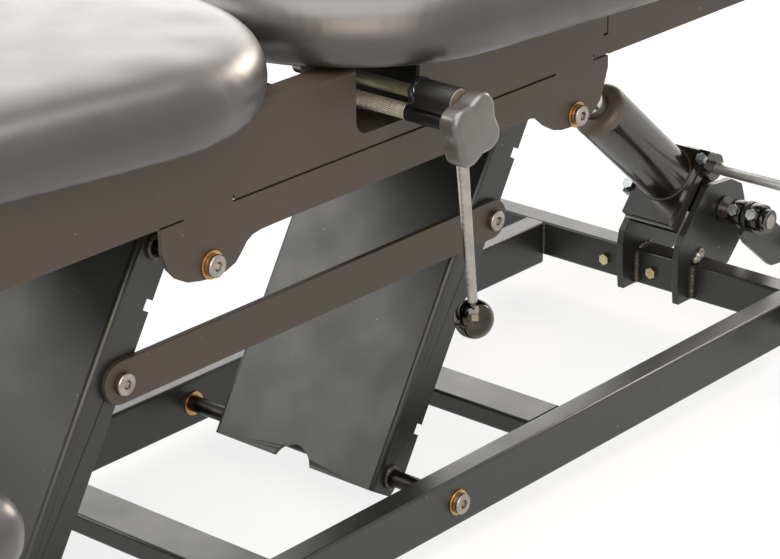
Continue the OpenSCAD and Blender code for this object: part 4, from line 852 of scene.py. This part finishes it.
def shownRays(tree):
    # one for the rays that show the background: from the camera, off metal, through glass
    rays = addNode(tree, "ShaderNodeLightPath").outputs
    shown = maths(tree, "MAXIMUM", rays["Is Camera Ray"], rays["Is Glossy Ray"])
    return maths(tree, "MAXIMUM", shown, rays["Is Transmission Ray"])


# plain paper sweep, lit by the lamps, with a share of even white
floorMaterial, floorTree, floorShader, _ = newMaterial("paper_sweep_matt", floorLook)
white = addNode(floorTree, "ShaderNodeEmission", {"Color": (1, 1, 1, 1), "Strength": 1.0})
share = maths(floorTree, "MULTIPLY", shownRays(floorTree), floorLook["shownShare"])
floorMix = addNode(floorTree, "ShaderNodeMixShader", {0: share, 1: floorShader.outputs[0],
                                                      2: white.outputs[0]})
floorOutput = [n for n in floorTree.nodes if n.bl_idname == "ShaderNodeOutputMaterial"][0]
floorTree.links.new(floorMix.outputs[0], floorOutput.inputs[0])
floor.data.materials.append(floorMaterial)

worldLook = {"colour": "#faf8f4", "strength": 0.5}
world = bpy.data.worlds.new("studio")
scene.world = world
world.use_nodes = True
worldTree = world.node_tree
worldTree.nodes.clear()
fill = addNode(worldTree, "ShaderNodeBackground", {"Color": toLinear(worldLook["colour"]),
                                                   "Strength": worldLook["strength"]})
seen = addNode(worldTree, "ShaderNodeBackground", {"Color": (1, 1, 1, 1), "Strength": 1.0})
worldMix = addNode(worldTree, "ShaderNodeMixShader", {0: shownRays(worldTree), 1: fill.outputs[0],
                                                      2: seen.outputs[0]})
addNode(worldTree, "ShaderNodeOutputWorld", {"Surface": worldMix.outputs[0]})

lamps = {
    "key": {"at": (-2.1, -2.4, 1.9), "towards": (0.0, 0, 0.4), "size": 2.4, "power": 82,
            "colour": "#ffefdc"},
    "top": {"at": (-0.6, -0.5, 3.2), "towards": (-0.1, 0, 0.4), "size": 3.0, "power": 125,
            "colour": "#ffffff"},
    "back": {"at": (3.0, 2.5, 1.75), "towards": (0.0, 0, 0.5), "size": 2.6, "power": 50,
             "colour": "#fbf8f4"},
    "farSide": {"at": (-1.8, 2.0, 1.8), "towards": (0.2, 0, 0.3), "size": 1.4, "power": 36,
                "colour": "#fbf8f2"},
    "foot": {"at": (2.7, 0.05, 1.4), "towards": (0.5, 0, 0.2), "size": 1.0, "power": 44,
             "colour": "#ffeedd"},
}

for name, settings in lamps.items():
    lampData = bpy.data.lights.new(name, "AREA")
    lampData.shape = "SQUARE"
    lampData.size = settings["size"]
    lampData.energy = settings["power"]
    lampData.color = toLinear(settings["colour"])[:3]
    lamp = bpy.data.objects.new(name, lampData)
    scene.collection.objects.link(lamp)
    lamp.location = settings["at"]
    aim = Vector(settings["towards"]) - Vector(settings["at"])
    lamp.rotation_euler = aim.to_track_quat("-Z", "Y").to_euler()

scene.view_settings.view_transform = "Standard"
print("camera and lights set")
